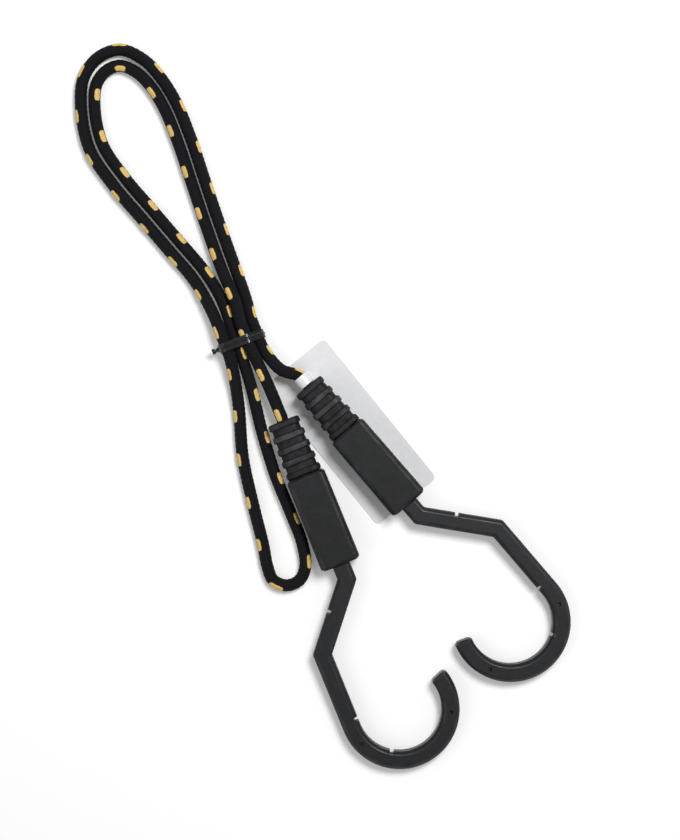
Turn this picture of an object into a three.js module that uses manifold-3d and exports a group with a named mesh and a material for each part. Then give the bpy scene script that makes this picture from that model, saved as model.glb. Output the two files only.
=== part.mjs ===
// Bungee cord: an elastic braided cord with a moulded handle and a covered steel hook on each end.
// The cord is folded into a hank, held at the waist by a twist tie, and lies on the plane z = 0.
// Millimetres, +Z up. The origin is on that plane, in the middle of the box round the two ends.

import * as THREE from 'three';
import { mergeVertices } from 'three/addons/utils/BufferGeometryUtils.js';
import Module from 'manifold-3d';

// Clearance between pieces that touch on the real object, and how far a cutter runs past what it cuts
const FIT_GAP = 0.3;
const CUT_PAST = 1;

// Cord: a rubber core in a braided sheath
const CORD_DIAMETER = 6;
const SHEATH_WALL = 0.8;

// Handle, along its axis from the cord end to the hook end
const HANDLE_LENGTH = 48;
const HANDLE_WIDTH_CORD_END = 19.8;
const HANDLE_WIDTH_HOOK_END = 20.4;
const HANDLE_WALL = 2.2;
const HANDLE_CORNER = 2.4;
const HANDLE_END_BEVEL = 1.2;
const HANDLE_FRONT_WALL = 9;

// Strain relief: a collar at the mouth, then ribs, then a base that plugs into the handle
const MOUTH_WIDTH = 16;
const MOUTH_WALL = 2.6;
const COLLAR_LENGTH = 3.4;
const RIB_COUNT = 3;
const RIB_LENGTH = 3.4;
const GROOVE_LENGTH = 3;
const GROOVE_DEPTH = 1;
const RIB_BEVEL = 0.6;
const BASE_LENGTH = 3.3;
const BASE_INSET = 0.9;
const SPIGOT_LENGTH = 15;
const BARB_HEIGHT = 0.7;
const BARB_LENGTH = 3;
const BARB_SETBACK = 6;

// Crimp ferrule on the end of the cord
const FERRULE_WALL = 1.2;
const FERRULE_LENGTH = 12;
const CRIMP_DEPTH = 0.5;
const CRIMP_LENGTH = 2;
const TAIL_STICK_OUT = 1.5;

// Hook: steel wire with a plastic covering of flat-sided section
const WIRE_DIAMETER = 5;
const WIRE_HEAD_DIAMETER = 8.4;
const WIRE_HEAD_LENGTH = 4;
const COVER_WALL = 1.7;
const COVER_CHAMFER = 1.6;
const HOOK_STUB = 8;
const HOOK_LEG_RUN = 30.4;
const HOOK_STRAIGHT = 39.6;
const BOWL_RADIUS = 25.5;
const BOWL_SWEEP = 200;
const TIP_COVER = 6;
const WIRE_BEND_TRIM = 4;

// Marks left in the covering by the pins that hold the wire in the mould: slots in its sides, holes in its faces
const PIN_MARK_DIAMETER = 2.2;
const LEG_MARK_SHARE = 0.46;
const INNER_MARK_ANGLES = [98, 32];
const FACE_MARK_ANGLES = [70, -65];

// Tag: a bare card under one handle, with a strap over the cord
const TAG_LENGTH = 90;
const TAG_WIDTH = 38;
const TAG_THICKNESS = 0.4;
const TAG_CORNER = 2.5;
const TAG_CENTRE = [-34.4, 70.2];
const TAG_HEADING = -51;
const STRAP_WIDTH = 5.5;
const STRAP_FOOT = 3;
const STRAP_SETBACK = 0.5;
const STRAP_CLEARANCE = 0.6;

// Twist tie round the four strands at the waist of the hank
const TIE_WIDTH = 4.5;
const TIE_THICKNESS = 0.8;
const TIE_TAIL_LENGTH = 4;
const TIE_TAIL_TURNS = 1;

// Where the two ends lie: middle of each handle's hook end, and the way the hook points
const END_A = { letter: 'a', x: -5.38, y: 34.61, heading: -49.4, turnedOver: false };
const END_B = { letter: 'b', x: -39.25, y: 4.24, heading: -68, turnedOver: true };

// Waist of the hank: the strands lie side by side, every second one raised
const WAIST = { x: -88.8, y: 115.5, heading: -69 };
const STRAND_MIDDLE = 1.5;
const STRAND_PITCH = 5.55;
const LOW_STRAND = 4.4;
const HIGH_STRAND = 8;
const WAIST_RUN = 4;
const JUNCTION = -5;
const JUNCTION_RUN = 4;
const LEAD_STRAIGHT = 6.2;

// The cord's route: [x, y, z] points of the strands between the waist and each loop's end
const OUTER_LOOP = [
  [-86.8, 136.5, 3.5], [-92.8, 153.8, 3.1], [-100.6, 175.7, 3.1], [-108, 197.7, 3.1], [-114.3, 216.7, 3.1],
  [-121.5, 234.4, 3.1], [-129.3, 247.2, 3.1], [-138.3, 256.7, 3.1], [-149.8, 261.6, 3.1], [-161, 257.6, 3.1],
  [-168.1, 247.7, 3.1], [-169.5, 233.5, 3.1], [-165.3, 212, 3.1], [-153.2, 193.5, 3.1], [-139.1, 177, 3.1],
  [-126.1, 161.8, 3.1], [-112.6, 145.8, 3.4], [-103.3, 129.5, 6.2],
];
const LOWER_LOOP = [
  [-93, 100, 6.2], [-90.4, 82.5, 3.5], [-88.4, 57.5, 3.1], [-83.3, 34, 3.1], [-78.3, 14, 3.1],
  [-76.1, 2.8, 3.1], [-73.3, -3.9, 3.1], [-66.6, -6.7, 3.1], [-59.9, -3.9, 3.1], [-57.1, 2.8, 3.1],
  [-58.7, 14.5, 3.1], [-64.2, 29, 3.1], [-72.3, 49, 3.1], [-79, 71, 3.1], [-84.3, 93, 3.3],
];
const INNER_LOOP = [
  [-98.7, 135.7, 3.4], [-107, 149.8, 3.1], [-120.9, 166.3, 3.1], [-133.9, 181.5, 3.1], [-147.7, 197.7, 3.1],
  [-158.9, 214.7, 3.1], [-162.7, 233.5, 3.1], [-161.6, 244.6, 3.1], [-156.8, 251.1, 3.1], [-150, 253.6, 3.1],
  [-141.9, 250.4, 3.1], [-134.5, 243.1, 3.1], [-127.5, 231.6, 3.1], [-120.6, 214.4, 3.1], [-114.3, 195.6, 3.1],
  [-106.9, 173.5, 3.1], [-99, 151.7, 4.6], [-92.3, 135.7, 7.4],
];
const LEAD_A = [[-75.6, 108, 6], [-68.8, 101, 8.3]];
const LEAD_B = [[-80.8, 104.7, 8.3], [-75.8, 94.2, 8.9]];

// Fineness of the facets
const CORD_SIDES = 8;
const BORE_SIDES = 6;
const HANK_STEPS = 120;
const LEAD_STEPS = 12;
const WIRE_SIDES = 8;
const WIRE_STEPS = 44;
const BOWL_DIVISIONS = 15;
const TURNED_SIDES = 16;
const CORNER_STEPS = 4;
const MARK_SIDES = 8;
const GAP_SAMPLES = 600;

// Sizes that follow from the ones above
const cordRadius = CORD_DIAMETER / 2;
const coreRadius = cordRadius - SHEATH_WALL - FIT_GAP;
const ferruleRadius = cordRadius + FIT_GAP + FERRULE_WALL;
const handleBore = ferruleRadius + FIT_GAP;
const handleThickness = 2 * (handleBore + HANDLE_WALL);
const cordHole = cordRadius + FIT_GAP;
const mouthThickness = 2 * (cordHole + MOUTH_WALL);
const neckLength = COLLAR_LENGTH + RIB_COUNT * (RIB_LENGTH + GROOVE_LENGTH) + GROOVE_LENGTH + BASE_LENGTH;
const mouthX = -HANDLE_LENGTH - FIT_GAP - neckLength;
const spigotEnd = -HANDLE_LENGTH + SPIGOT_LENGTH;
const ferruleStart = spigotEnd + FIT_GAP;
const wireRadius = WIRE_DIAMETER / 2;
const wireHole = wireRadius + FIT_GAP;
const hookHalf = wireHole + COVER_WALL;
const bowlX = HOOK_STUB + HOOK_LEG_RUN + HOOK_STRAIGHT;
const bowlEnd = THREE.MathUtils.degToRad(90 - BOWL_SWEEP);

// Booleans
const wasm = await Module();
wasm.setup();

function signedVolume(positions, triangles) {
  let total = 0;
  const a = new THREE.Vector3();
  const b = new THREE.Vector3();
  const c = new THREE.Vector3();
  for (let i = 0; i < triangles.length; i += 3) {
    a.fromBufferAttribute(positions, triangles[i]);
    b.fromBufferAttribute(positions, triangles[i + 1]);
    c.fromBufferAttribute(positions, triangles[i + 2]);
    total += a.dot(b.cross(c)) / 6;
  }
  return total;
}

// The same surface with shared corners merged, collapsed triangles dropped and every face turned outward
function closed(geometry) {
  const bare = geometry.clone();
  bare.deleteAttribute('normal');
  bare.deleteAttribute('uv');
  const merged = mergeVertices(bare);
  const kept = [];
  const corners = merged.index.array;
  for (let i = 0; i < corners.length; i += 3) {
    const [a, b, c] = corners.slice(i, i + 3);
    if (a !== b && b !== c && c !== a) kept.push(a, b, c);
  }
  if (signedVolume(merged.attributes.position, kept) < 0) kept.reverse();
  merged.clearGroups();
  merged.setIndex(kept);
  return merged;
}

function solid(geometry) {
  const surface = closed(geometry);
  return new wasm.Manifold(new wasm.Mesh({
    numProp: 3,
    vertProperties: new Float32Array(surface.attributes.position.array),
    triVerts: new Uint32Array(surface.index.array),
  }));
}

function surfaceOf(manifold) {
  const mesh = manifold.getMesh();
  const geometry = new THREE.BufferGeometry();
  geometry.setAttribute('position', new THREE.BufferAttribute(new Float32Array(mesh.vertProperties), 3));
  geometry.setIndex(new THREE.BufferAttribute(new Uint32Array(mesh.triVerts), 1));
  return geometry;
}

function cut(body, ...cutters) {
  return cutters.reduce((left, cutter) => left.subtract(solid(cutter)), body);
}

// A revolved piece along X, from a closed list of [x, radius] corners
function turned(profile, sides = TURNED_SIDES) {
  const points = [...profile, profile[0]].map(([x, radius]) => new THREE.Vector2(radius, x));
  return new THREE.LatheGeometry(points, sides).rotateZ(-Math.PI / 2);
}

function rod(from, to, radius) {
  return turned([[from, 0], [from, radius], [to, radius], [to, 0]]);
}

// A loft along X through rounded rectangles: each section is { x, width, thickness, corner }
function loft(sections) {
  const positions = [];
  for (const { x, width, thickness, corner } of sections) {
    for (let side = 0; side < 4; side++) {
      const middle = side * Math.PI / 2 + Math.PI / 4;
      const y = Math.sign(Math.cos(middle)) * (width / 2 - corner);
      const z = Math.sign(Math.sin(middle)) * (thickness / 2 - corner);
      for (let step = 0; step <= CORNER_STEPS; step++) {
        const angle = side * Math.PI / 2 + step / CORNER_STEPS * Math.PI / 2;
        positions.push(x, y + corner * Math.cos(angle), z + corner * Math.sin(angle));
      }
    }
  }
  const ring = 4 * (CORNER_STEPS + 1);
  const last = (sections.length - 1) * ring;
  const triangles = [];
  for (let start = 0; start < last; start += ring) {
    for (let i = 0; i < ring; i++) {
      const here = start + i;
      const next = start + (i + 1) % ring;
      triangles.push(here, next, next + ring, here, next + ring, here + ring);
    }
  }
  const firstCap = positions.length / 3;
  positions.push(sections[0].x, 0, 0, sections.at(-1).x, 0, 0);
  for (let i = 0; i < ring; i++) {
    const next = (i + 1) % ring;
    triangles.push(firstCap, next, i, firstCap + 1, last + i, last + next);
  }
  const geometry = new THREE.BufferGeometry();
  geometry.setAttribute('position', new THREE.Float32BufferAttribute(positions, 3));
  geometry.setIndex(triangles);
  return geometry;
}

// Handle: a flared rounded bar, bored for the strain relief, the ferrule and the hook's wire
function handleSection(x, inset) {
  const share = 1 + x / HANDLE_LENGTH;
  const width = THREE.MathUtils.lerp(HANDLE_WIDTH_CORD_END, HANDLE_WIDTH_HOOK_END, share);
  return {
    x,
    width: width - 2 * inset,
    thickness: handleThickness - 2 * inset,
    corner: HANDLE_CORNER,
  };
}

function barbProfile(radius, height, from, to) {
  return [[from, radius], [from, radius + height], [to, radius + height], [to, radius]];
}

function handle() {
  const body = loft([
    handleSection(-HANDLE_LENGTH, HANDLE_END_BEVEL),
    handleSection(-HANDLE_LENGTH + HANDLE_END_BEVEL, 0),
    handleSection(-HANDLE_END_BEVEL, 0),
    handleSection(0, HANDLE_END_BEVEL),
  ]);
  const groove = spigotEnd - BARB_SETBACK;
  const bore = turned([
    [-HANDLE_LENGTH - CUT_PAST, 0],
    [-HANDLE_LENGTH - CUT_PAST, handleBore],
    ...barbProfile(handleBore, BARB_HEIGHT, groove - BARB_LENGTH - FIT_GAP, groove + FIT_GAP),
    [-HANDLE_FRONT_WALL, handleBore],
    [-HANDLE_FRONT_WALL, wireHole],
    [CUT_PAST, wireHole],
    [CUT_PAST, 0],
  ]);
  return surfaceOf(cut(solid(body), bore));
}

// Strain relief: its ribs flare from the mouth to the handle
function neckSection(x, inset) {
  const share = (x - mouthX) / neckLength;
  const width = THREE.MathUtils.lerp(MOUTH_WIDTH, HANDLE_WIDTH_CORD_END - 2 * BASE_INSET, share);
  const thickness = THREE.MathUtils.lerp(mouthThickness, handleThickness - 2 * BASE_INSET, share);
  return {
    x,
    width: width - 2 * inset,
    thickness: thickness - 2 * inset,
    corner: HANDLE_CORNER,
  };
}

function ribSections(from, to) {
  return [
    neckSection(from, GROOVE_DEPTH),
    neckSection(from, RIB_BEVEL),
    neckSection(from + RIB_BEVEL, 0),
    neckSection(to - RIB_BEVEL, 0),
    neckSection(to, RIB_BEVEL),
    neckSection(to, GROOVE_DEPTH),
  ];
}

function strainRelief() {
  const collarEnd = mouthX + COLLAR_LENGTH;
  const sections = ribSections(mouthX, collarEnd).slice(1);
  for (let i = 0; i < RIB_COUNT; i++) {
    const from = collarEnd + GROOVE_LENGTH + i * (RIB_LENGTH + GROOVE_LENGTH);
    sections.push(...ribSections(from, from + RIB_LENGTH));
  }
  const baseEnd = mouthX + neckLength;
  sections.push(...ribSections(baseEnd - BASE_LENGTH, baseEnd).slice(0, -1));
  const spigotRadius = handleBore - FIT_GAP;
  const barb = spigotEnd - BARB_SETBACK;
  const spigot = turned([
    [baseEnd - BASE_LENGTH, 0],
    [baseEnd - BASE_LENGTH, spigotRadius],
    ...barbProfile(spigotRadius, BARB_HEIGHT, barb - BARB_LENGTH, barb),
    [spigotEnd, spigotRadius],
    [spigotEnd, 0],
  ]);
  const body = solid(loft(sections)).add(solid(spigot));
  return surfaceOf(cut(body, rod(mouthX - CUT_PAST, spigotEnd + CUT_PAST, cordHole)));
}

// Ferrule: a sleeve with two crimped grooves, behind the spigot that it can't pass
function ferrule() {
  const end = ferruleStart + FERRULE_LENGTH;
  const first = ferruleStart + FERRULE_LENGTH / 3 - CRIMP_LENGTH / 2;
  const second = ferruleStart + 2 * FERRULE_LENGTH / 3 - CRIMP_LENGTH / 2;
  return closed(turned([
    [ferruleStart, cordHole],
    [ferruleStart, ferruleRadius],
    ...barbProfile(ferruleRadius, -CRIMP_DEPTH, first, first + CRIMP_LENGTH),
    ...barbProfile(ferruleRadius, -CRIMP_DEPTH, second, second + CRIMP_LENGTH),
    [end, ferruleRadius],
    [end, cordHole],
  ]));
}

const tailEnd = ferruleStart + FERRULE_LENGTH + TAIL_STICK_OUT;

function tailSheath() {
  const bore = coreRadius + FIT_GAP;
  return closed(turned([[mouthX, bore], [mouthX, cordRadius], [tailEnd, cordRadius], [tailEnd, bore]]));
}

function tailCore() {
  return closed(rod(mouthX, tailEnd, coreRadius));
}

// Hook covering: the plan outline of the bent bar, with mitred bends and a round bowl
function mitre(before, corner, after, side) {
  const first = corner.clone().sub(before).normalize();
  const second = after.clone().sub(corner).normalize();
  const across = new THREE.Vector2(-first.y - second.y, first.x + second.x);
  return corner.clone().addScaledVector(across, side / (1 + first.dot(second)));
}

const hookStart = new THREE.Vector2(FIT_GAP, 0);
const hookBends = [
  new THREE.Vector2(HOOK_STUB, 0),
  new THREE.Vector2(HOOK_STUB + HOOK_LEG_RUN, BOWL_RADIUS),
];
const bowlStart = new THREE.Vector2(bowlX, BOWL_RADIUS);

function coverOutline() {
  const corners = [hookStart, ...hookBends, bowlStart];
  const along = (i, side) => mitre(corners[i - 1], corners[i], corners[i + 1], side);
  const outline = new THREE.Shape();
  outline.moveTo(FIT_GAP, -hookHalf);
  outline.lineTo(FIT_GAP, hookHalf);
  for (const i of [1, 2]) {
    const corner = along(i, hookHalf);
    outline.lineTo(corner.x, corner.y);
  }
  outline.absarc(bowlX, 0, BOWL_RADIUS + hookHalf, Math.PI / 2, bowlEnd, true);
  outline.absarc(bowlX, 0, BOWL_RADIUS - hookHalf, bowlEnd, Math.PI / 2, false);
  for (const i of [2, 1]) {
    const corner = along(i, -hookHalf);
    outline.lineTo(corner.x, corner.y);
  }
  outline.closePath();
  return outline;
}

// A plan path lifted into space, for sweeping a section along it
class FlatCurve extends THREE.Curve {
  constructor(path) {
    super();
    this.path = path;
  }

  getPoint(share, target = new THREE.Vector3()) {
    const point = this.path.getPoint(share);
    return target.set(point.x, point.y, 0);
  }
}

function round(radius, sides) {
  const outline = new THREE.Shape();
  for (let i = 0; i <= sides; i++) {
    const angle = (i + 0.5) / sides * 2 * Math.PI;
    const point = [radius * Math.cos(angle), radius * Math.sin(angle)];
    if (i === 0) outline.moveTo(...point);
    else outline.lineTo(...point);
  }
  return outline;
}

const wireStop = bowlEnd + TIP_COVER / BOWL_RADIUS;

function wireCurve() {
  const path = new THREE.Path();
  path.moveTo(-HANDLE_FRONT_WALL - FIT_GAP - WIRE_HEAD_LENGTH / 2, 0);
  const stops = [hookStart, ...hookBends, bowlStart];
  for (const i of [1, 2]) {
    const bend = stops[i];
    const entry = stops[i - 1].clone().sub(bend).setLength(WIRE_BEND_TRIM).add(bend);
    const exit = stops[i + 1].clone().sub(bend).setLength(WIRE_BEND_TRIM).add(bend);
    path.lineTo(entry.x, entry.y);
    path.quadraticCurveTo(bend.x, bend.y, exit.x, exit.y);
  }
  path.absarc(bowlX, 0, BOWL_RADIUS, Math.PI / 2, wireStop, true);
  return new FlatCurve(path);
}

function alongWire(radius) {
  const options = { steps: WIRE_STEPS, extrudePath: wireCurve(), curveSegments: 1 };
  return new THREE.ExtrudeGeometry(round(radius, WIRE_SIDES), options);
}

function hookWire() {
  const headEnd = -HANDLE_FRONT_WALL - FIT_GAP;
  const head = rod(headEnd - WIRE_HEAD_LENGTH, headEnd, WIRE_HEAD_DIAMETER / 2);
  return surfaceOf(solid(alongWire(wireRadius)).add(solid(head)));
}

// Cutters that reach from outside the covering down to the wire: a round hole, and a slot across a side
const markDepth = hookHalf + CUT_PAST - wireRadius;

function cutIn(bit, plan, direction) {
  bit.translate(0, wireRadius + markDepth / 2, 0);
  const turn = new THREE.Quaternion().setFromUnitVectors(new THREE.Vector3(0, 1, 0), direction);
  return bit.applyQuaternion(turn).translate(plan.x, plan.y, 0);
}

function drill(plan, direction) {
  const radius = PIN_MARK_DIAMETER / 2;
  return cutIn(new THREE.CylinderGeometry(radius, radius, markDepth, MARK_SIDES), plan, direction);
}

function slot(plan, direction) {
  const height = 2 * (hookHalf + CUT_PAST);
  return cutIn(new THREE.BoxGeometry(PIN_MARK_DIAMETER, markDepth, height), plan, direction);
}

function pinMarks() {
  const [bendOne, bendTwo] = hookBends;
  const leg = bendTwo.clone().sub(bendOne).normalize();
  const up = new THREE.Vector3(0, 0, 1);
  const bits = [slot(bendOne.clone().lerp(bendTwo, LEG_MARK_SHARE), new THREE.Vector3(-leg.y, leg.x, 0))];
  const onBowl = (degrees) => {
    const angle = THREE.MathUtils.degToRad(degrees);
    return new THREE.Vector2(Math.cos(angle), Math.sin(angle));
  };
  for (const degrees of INNER_MARK_ANGLES) {
    const out = onBowl(Math.min(degrees, 90));
    const plan = out.clone().multiplyScalar(BOWL_RADIUS).add(new THREE.Vector2(bowlX, 0));
    plan.x -= BOWL_RADIUS * THREE.MathUtils.degToRad(Math.max(degrees - 90, 0));
    bits.push(slot(plan, new THREE.Vector3(-out.x, -out.y, 0)));
  }
  for (const degrees of FACE_MARK_ANGLES) {
    const plan = onBowl(degrees).multiplyScalar(BOWL_RADIUS).add(new THREE.Vector2(bowlX, 0));
    bits.push(drill(plan, up), drill(plan, up.clone().negate()));
  }
  return bits;
}

function hookCover() {
  const depth = 2 * (hookHalf - COVER_CHAMFER);
  const bar = new THREE.ExtrudeGeometry(coverOutline(), {
    depth,
    curveSegments: BOWL_DIVISIONS,
    bevelThickness: COVER_CHAMFER,
    bevelSize: COVER_CHAMFER,
    bevelOffset: -COVER_CHAMFER,
    bevelSegments: 1,
  });
  bar.translate(0, 0, -depth / 2);
  const pocket = rod(-CUT_PAST, FIT_GAP, wireHole).rotateZ(wireStop - Math.PI / 2);
  pocket.translate(bowlX + BOWL_RADIUS * Math.cos(wireStop), BOWL_RADIUS * Math.sin(wireStop), 0);
  return surfaceOf(cut(solid(bar), alongWire(wireHole), pocket, ...pinMarks()));
}

// Materials
function finish(color, roughness, metalness = 0) {
  return new THREE.MeshStandardMaterial({ color, roughness, metalness });
}

const handlePlastic = finish('#232426', 0.5);
const reliefRubber = finish('#1c1d1f', 0.6);
const coverPlastic = finish('#1e1f21', 0.45);
const hookSteel = finish('#a9abad', 0.35, 1);
const ferruleSteel = finish('#b4b6b8', 0.4, 1);
const braid = finish('#1b1a20', 0.85);
const coreRubber = finish('#c9b48c', 0.8);
const tagCard = finish('#dcdedf', 0.5);
const tiePlastic = finish('#17171b', 0.35);

function piece(name, geometry, material) {
  const mesh = new THREE.Mesh(geometry, material);
  mesh.name = name;
  return mesh;
}

// Each end lies on its handle's lower hook-end edge and on the far side of its bowl
function endGroup(place, lift) {
  const drop = handleThickness / 2 - hookHalf;
  const reach = bowlX + BOWL_RADIUS + hookHalf - COVER_CHAMFER;
  const tilt = Math.atan2(drop, reach) + Math.asin(lift / Math.hypot(drop, reach));
  const group = new THREE.Group();
  group.position.set(place.x, place.y, lift + handleThickness / 2 * Math.cos(tilt));
  const heading = THREE.MathUtils.degToRad(place.heading);
  group.rotation.set(place.turnedOver ? Math.PI : 0, tilt, heading, 'ZYX');
  group.updateMatrixWorld();
  return group;
}

const endShapes = [
  ['handle', handle(), handlePlastic],
  ['strain_relief', strainRelief(), reliefRubber],
  ['hook_cover', hookCover(), coverPlastic],
  ['hook_wire', hookWire(), hookSteel],
  ['cord_ferrule', ferrule(), ferruleSteel],
  ['tail_sheath', tailSheath(), braid],
  ['tail_core', tailCore(), coreRubber],
];

const groups = new Map([
  [END_A, endGroup(END_A, TAG_THICKNESS + FIT_GAP)],
  [END_B, endGroup(END_B, 0)],
]);
for (const [place, group] of groups) {
  for (const [name, geometry, material] of endShapes) {
    group.add(piece(`${name}_${place.letter}`, geometry, material));
  }
}

// A point on one of the four strands at the waist, so far along the bundle
function waistPoint(strand, along) {
  const heading = THREE.MathUtils.degToRad(WAIST.heading);
  const across = (strand - STRAND_MIDDLE) * STRAND_PITCH;
  return new THREE.Vector3(
    WAIST.x + along * Math.cos(heading) - across * Math.sin(heading),
    WAIST.y + along * Math.sin(heading) + across * Math.cos(heading),
    strand % 2 === 0 ? HIGH_STRAND : LOW_STRAND,
  );
}

function points(list) {
  return list.map((point) => new THREE.Vector3(...point));
}

function smooth(route) {
  return new THREE.CatmullRomCurve3(route, false, 'centripetal');
}

const hankCurve = smooth([
  waistPoint(3, JUNCTION),
  waistPoint(3, JUNCTION - JUNCTION_RUN),
  ...points(OUTER_LOOP),
  waistPoint(0, -WAIST_RUN),
  waistPoint(0, WAIST_RUN),
  ...points(LOWER_LOOP),
  waistPoint(1, WAIST_RUN),
  waistPoint(1, -WAIST_RUN),
  ...points(INNER_LOOP),
  waistPoint(2, JUNCTION - JUNCTION_RUN),
  waistPoint(2, JUNCTION),
]);

// A lead runs from the hank's end, through the tie, and straight into the mouth of its strain relief
function leadCurve(strand, middle, group) {
  const inEnd = (x) => new THREE.Vector3(x, 0, 0).applyMatrix4(group.matrixWorld);
  return smooth([
    waistPoint(strand, JUNCTION + FIT_GAP),
    waistPoint(strand, WAIST_RUN),
    ...points(middle),
    inEnd(mouthX - LEAD_STRAIGHT),
    inEnd(mouthX - FIT_GAP),
  ]);
}

function cordSheath(curve, steps) {
  const section = round(cordRadius, CORD_SIDES);
  section.holes.push(round(coreRadius + FIT_GAP, BORE_SIDES));
  return closed(new THREE.ExtrudeGeometry(section, { steps, extrudePath: curve, curveSegments: 1 }));
}

function cordCore(curve, steps) {
  const section = round(coreRadius, BORE_SIDES);
  return closed(new THREE.ExtrudeGeometry(section, { steps, extrudePath: curve, curveSegments: 1 }));
}

// The smallest clear gap between strands that lie more than three diameters apart along the cord
function leastGap(curve) {
  const samples = curve.getSpacedPoints(GAP_SAMPLES);
  const apart = Math.ceil(3 * CORD_DIAMETER / curve.getLength() * GAP_SAMPLES);
  let least = Infinity;
  for (let i = 0; i < samples.length; i++) {
    for (let j = i + apart; j < samples.length; j++) {
      least = Math.min(least, samples[i].distanceTo(samples[j]));
    }
  }
  return least - CORD_DIAMETER;
}

console.log(`hank: ${hankCurve.getLength().toFixed(0)} mm of cord, least gap ${leastGap(hankCurve).toFixed(2)} mm`);

// Twist tie: a band round the strands, with its two ends twisted together at one side
function belt(centres, radius) {
  const outline = new THREE.Shape();
  const count = centres.length;
  const facing = (i) => {
    const [from, to] = [centres[i % count], centres[(i + 1) % count]];
    return Math.atan2(to[1] - from[1], to[0] - from[0]) - Math.PI / 2;
  };
  centres.forEach(([x, z], i) => outline.absarc(x, z, radius, facing(i + count - 1), facing(i), false));
  outline.closePath();
  return outline;
}

function twistTie() {
  const at = (strand, height) => [(strand - STRAND_MIDDLE) * STRAND_PITCH, height];
  const centres = [at(1, LOW_STRAND), at(3, LOW_STRAND), at(2, HIGH_STRAND), at(0, HIGH_STRAND)];
  const inside = cordRadius + FIT_GAP;
  const section = belt(centres, inside + TIE_THICKNESS);
  section.holes.push(belt(centres, inside));
  const band = new THREE.ExtrudeGeometry(section, { depth: TIE_WIDTH, bevelEnabled: false, curveSegments: 3 });
  band.translate(0, 0, -TIE_WIDTH / 2);
  const thick = 2 * TIE_THICKNESS;
  const tail = new THREE.BoxGeometry(TIE_TAIL_LENGTH, thick, TIE_WIDTH - 2 * TIE_THICKNESS, 8, 1, 1);
  const corners = tail.attributes.position;
  for (let i = 0; i < corners.count; i++) {
    const turn = (corners.getX(i) / TIE_TAIL_LENGTH + 0.5) * TIE_TAIL_TURNS * Math.PI;
    const [y, z] = [corners.getY(i), corners.getZ(i)];
    corners.setY(i, y * Math.cos(turn) - z * Math.sin(turn));
    corners.setZ(i, y * Math.sin(turn) + z * Math.cos(turn));
  }
  const [x, z] = at(0, HIGH_STRAND);
  tail.translate(x - inside - TIE_TAIL_LENGTH / 2, z, 0);
  return surfaceOf(solid(band).add(solid(tail)));
}

// Tag card, with rounded corners
function tagShape() {
  const [x, y] = [TAG_LENGTH / 2 - TAG_CORNER, TAG_WIDTH / 2 - TAG_CORNER];
  const outline = belt([[-x, -y], [x, -y], [x, y], [-x, y]], TAG_CORNER);
  return closed(new THREE.ExtrudeGeometry(outline, { depth: TAG_THICKNESS, bevelEnabled: false, curveSegments: 2 }));
}

// Strap: a strip bent over the lead, with a foot on the card at each side
function strapShape(height) {
  const inner = cordRadius + STRAP_CLEARANCE;
  const outer = inner + TAG_THICKNESS;
  const low = TAG_THICKNESS + FIT_GAP;
  const foot = outer + STRAP_FOOT;
  const outline = new THREE.Shape();
  outline.moveTo(-foot, low);
  outline.lineTo(-inner, low);
  outline.absarc(0, height, inner, Math.PI, 0, true);
  outline.lineTo(inner, low);
  outline.lineTo(foot, low);
  outline.lineTo(foot, low + TAG_THICKNESS);
  outline.lineTo(outer, low + TAG_THICKNESS);
  outline.absarc(0, height, outer, 0, Math.PI, false);
  outline.lineTo(-outer, low + TAG_THICKNESS);
  outline.lineTo(-foot, low + TAG_THICKNESS);
  outline.closePath();
  return closed(new THREE.ExtrudeGeometry(outline, { depth: STRAP_WIDTH, bevelEnabled: false, curveSegments: 4 }));
}

// A piece drawn across and up, turned to stand square to a heading in the plan
function standAcross(mesh, heading) {
  mesh.rotation.set(Math.PI / 2, 0, THREE.MathUtils.degToRad(heading + 90), 'ZYX');
  return mesh;
}

const bungee = new THREE.Group();
const leads = [[END_A, 3, LEAD_A], [END_B, 2, LEAD_B]];
for (const [place, strand, middle] of leads) {
  const group = groups.get(place);
  const curve = leadCurve(strand, middle, group);
  console.log(`lead ${place.letter}: ${curve.getLength().toFixed(1)} mm of cord`);
  bungee.add(group);
  bungee.add(piece(`lead_sheath_${place.letter}`, cordSheath(curve, LEAD_STEPS), braid));
  bungee.add(piece(`lead_core_${place.letter}`, cordCore(curve, LEAD_STEPS), coreRubber));
}
bungee.add(piece('hank_sheath', cordSheath(hankCurve, HANK_STEPS), braid));
bungee.add(piece('hank_core', cordCore(hankCurve, HANK_STEPS), coreRubber));

const tie = standAcross(piece('twist_tie', twistTie(), tiePlastic), WAIST.heading);
tie.position.set(WAIST.x, WAIST.y, 0);
bungee.add(tie);

const tag = piece('tag_card', tagShape(), tagCard);
tag.position.set(...TAG_CENTRE, 0);
tag.rotation.z = THREE.MathUtils.degToRad(TAG_HEADING);
bungee.add(tag);

const strapMiddle = new THREE.Vector3(mouthX - STRAP_SETBACK - STRAP_WIDTH / 2, 0, 0);
strapMiddle.applyMatrix4(groups.get(END_A).matrixWorld);
const strap = standAcross(piece('tag_strap', strapShape(strapMiddle.z), tagCard), END_A.heading);
strap.geometry.translate(0, 0, -STRAP_WIDTH / 2);
strap.position.set(strapMiddle.x, strapMiddle.y, 0);
bungee.add(strap);

export default bungee;
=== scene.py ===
# %% [markdown]
# # Dressing a bungee cord
# The imported model comes in as a fixed frame: three bodies, the hank of cord and the two ends that can be
# pulled away from it. Everything that shows is then made in the same frame, in metres, and hung on a body.

# %% Load the frame
import math

import bmesh
import bpy
import numpy as np
from mathutils import Matrix, Vector


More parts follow.
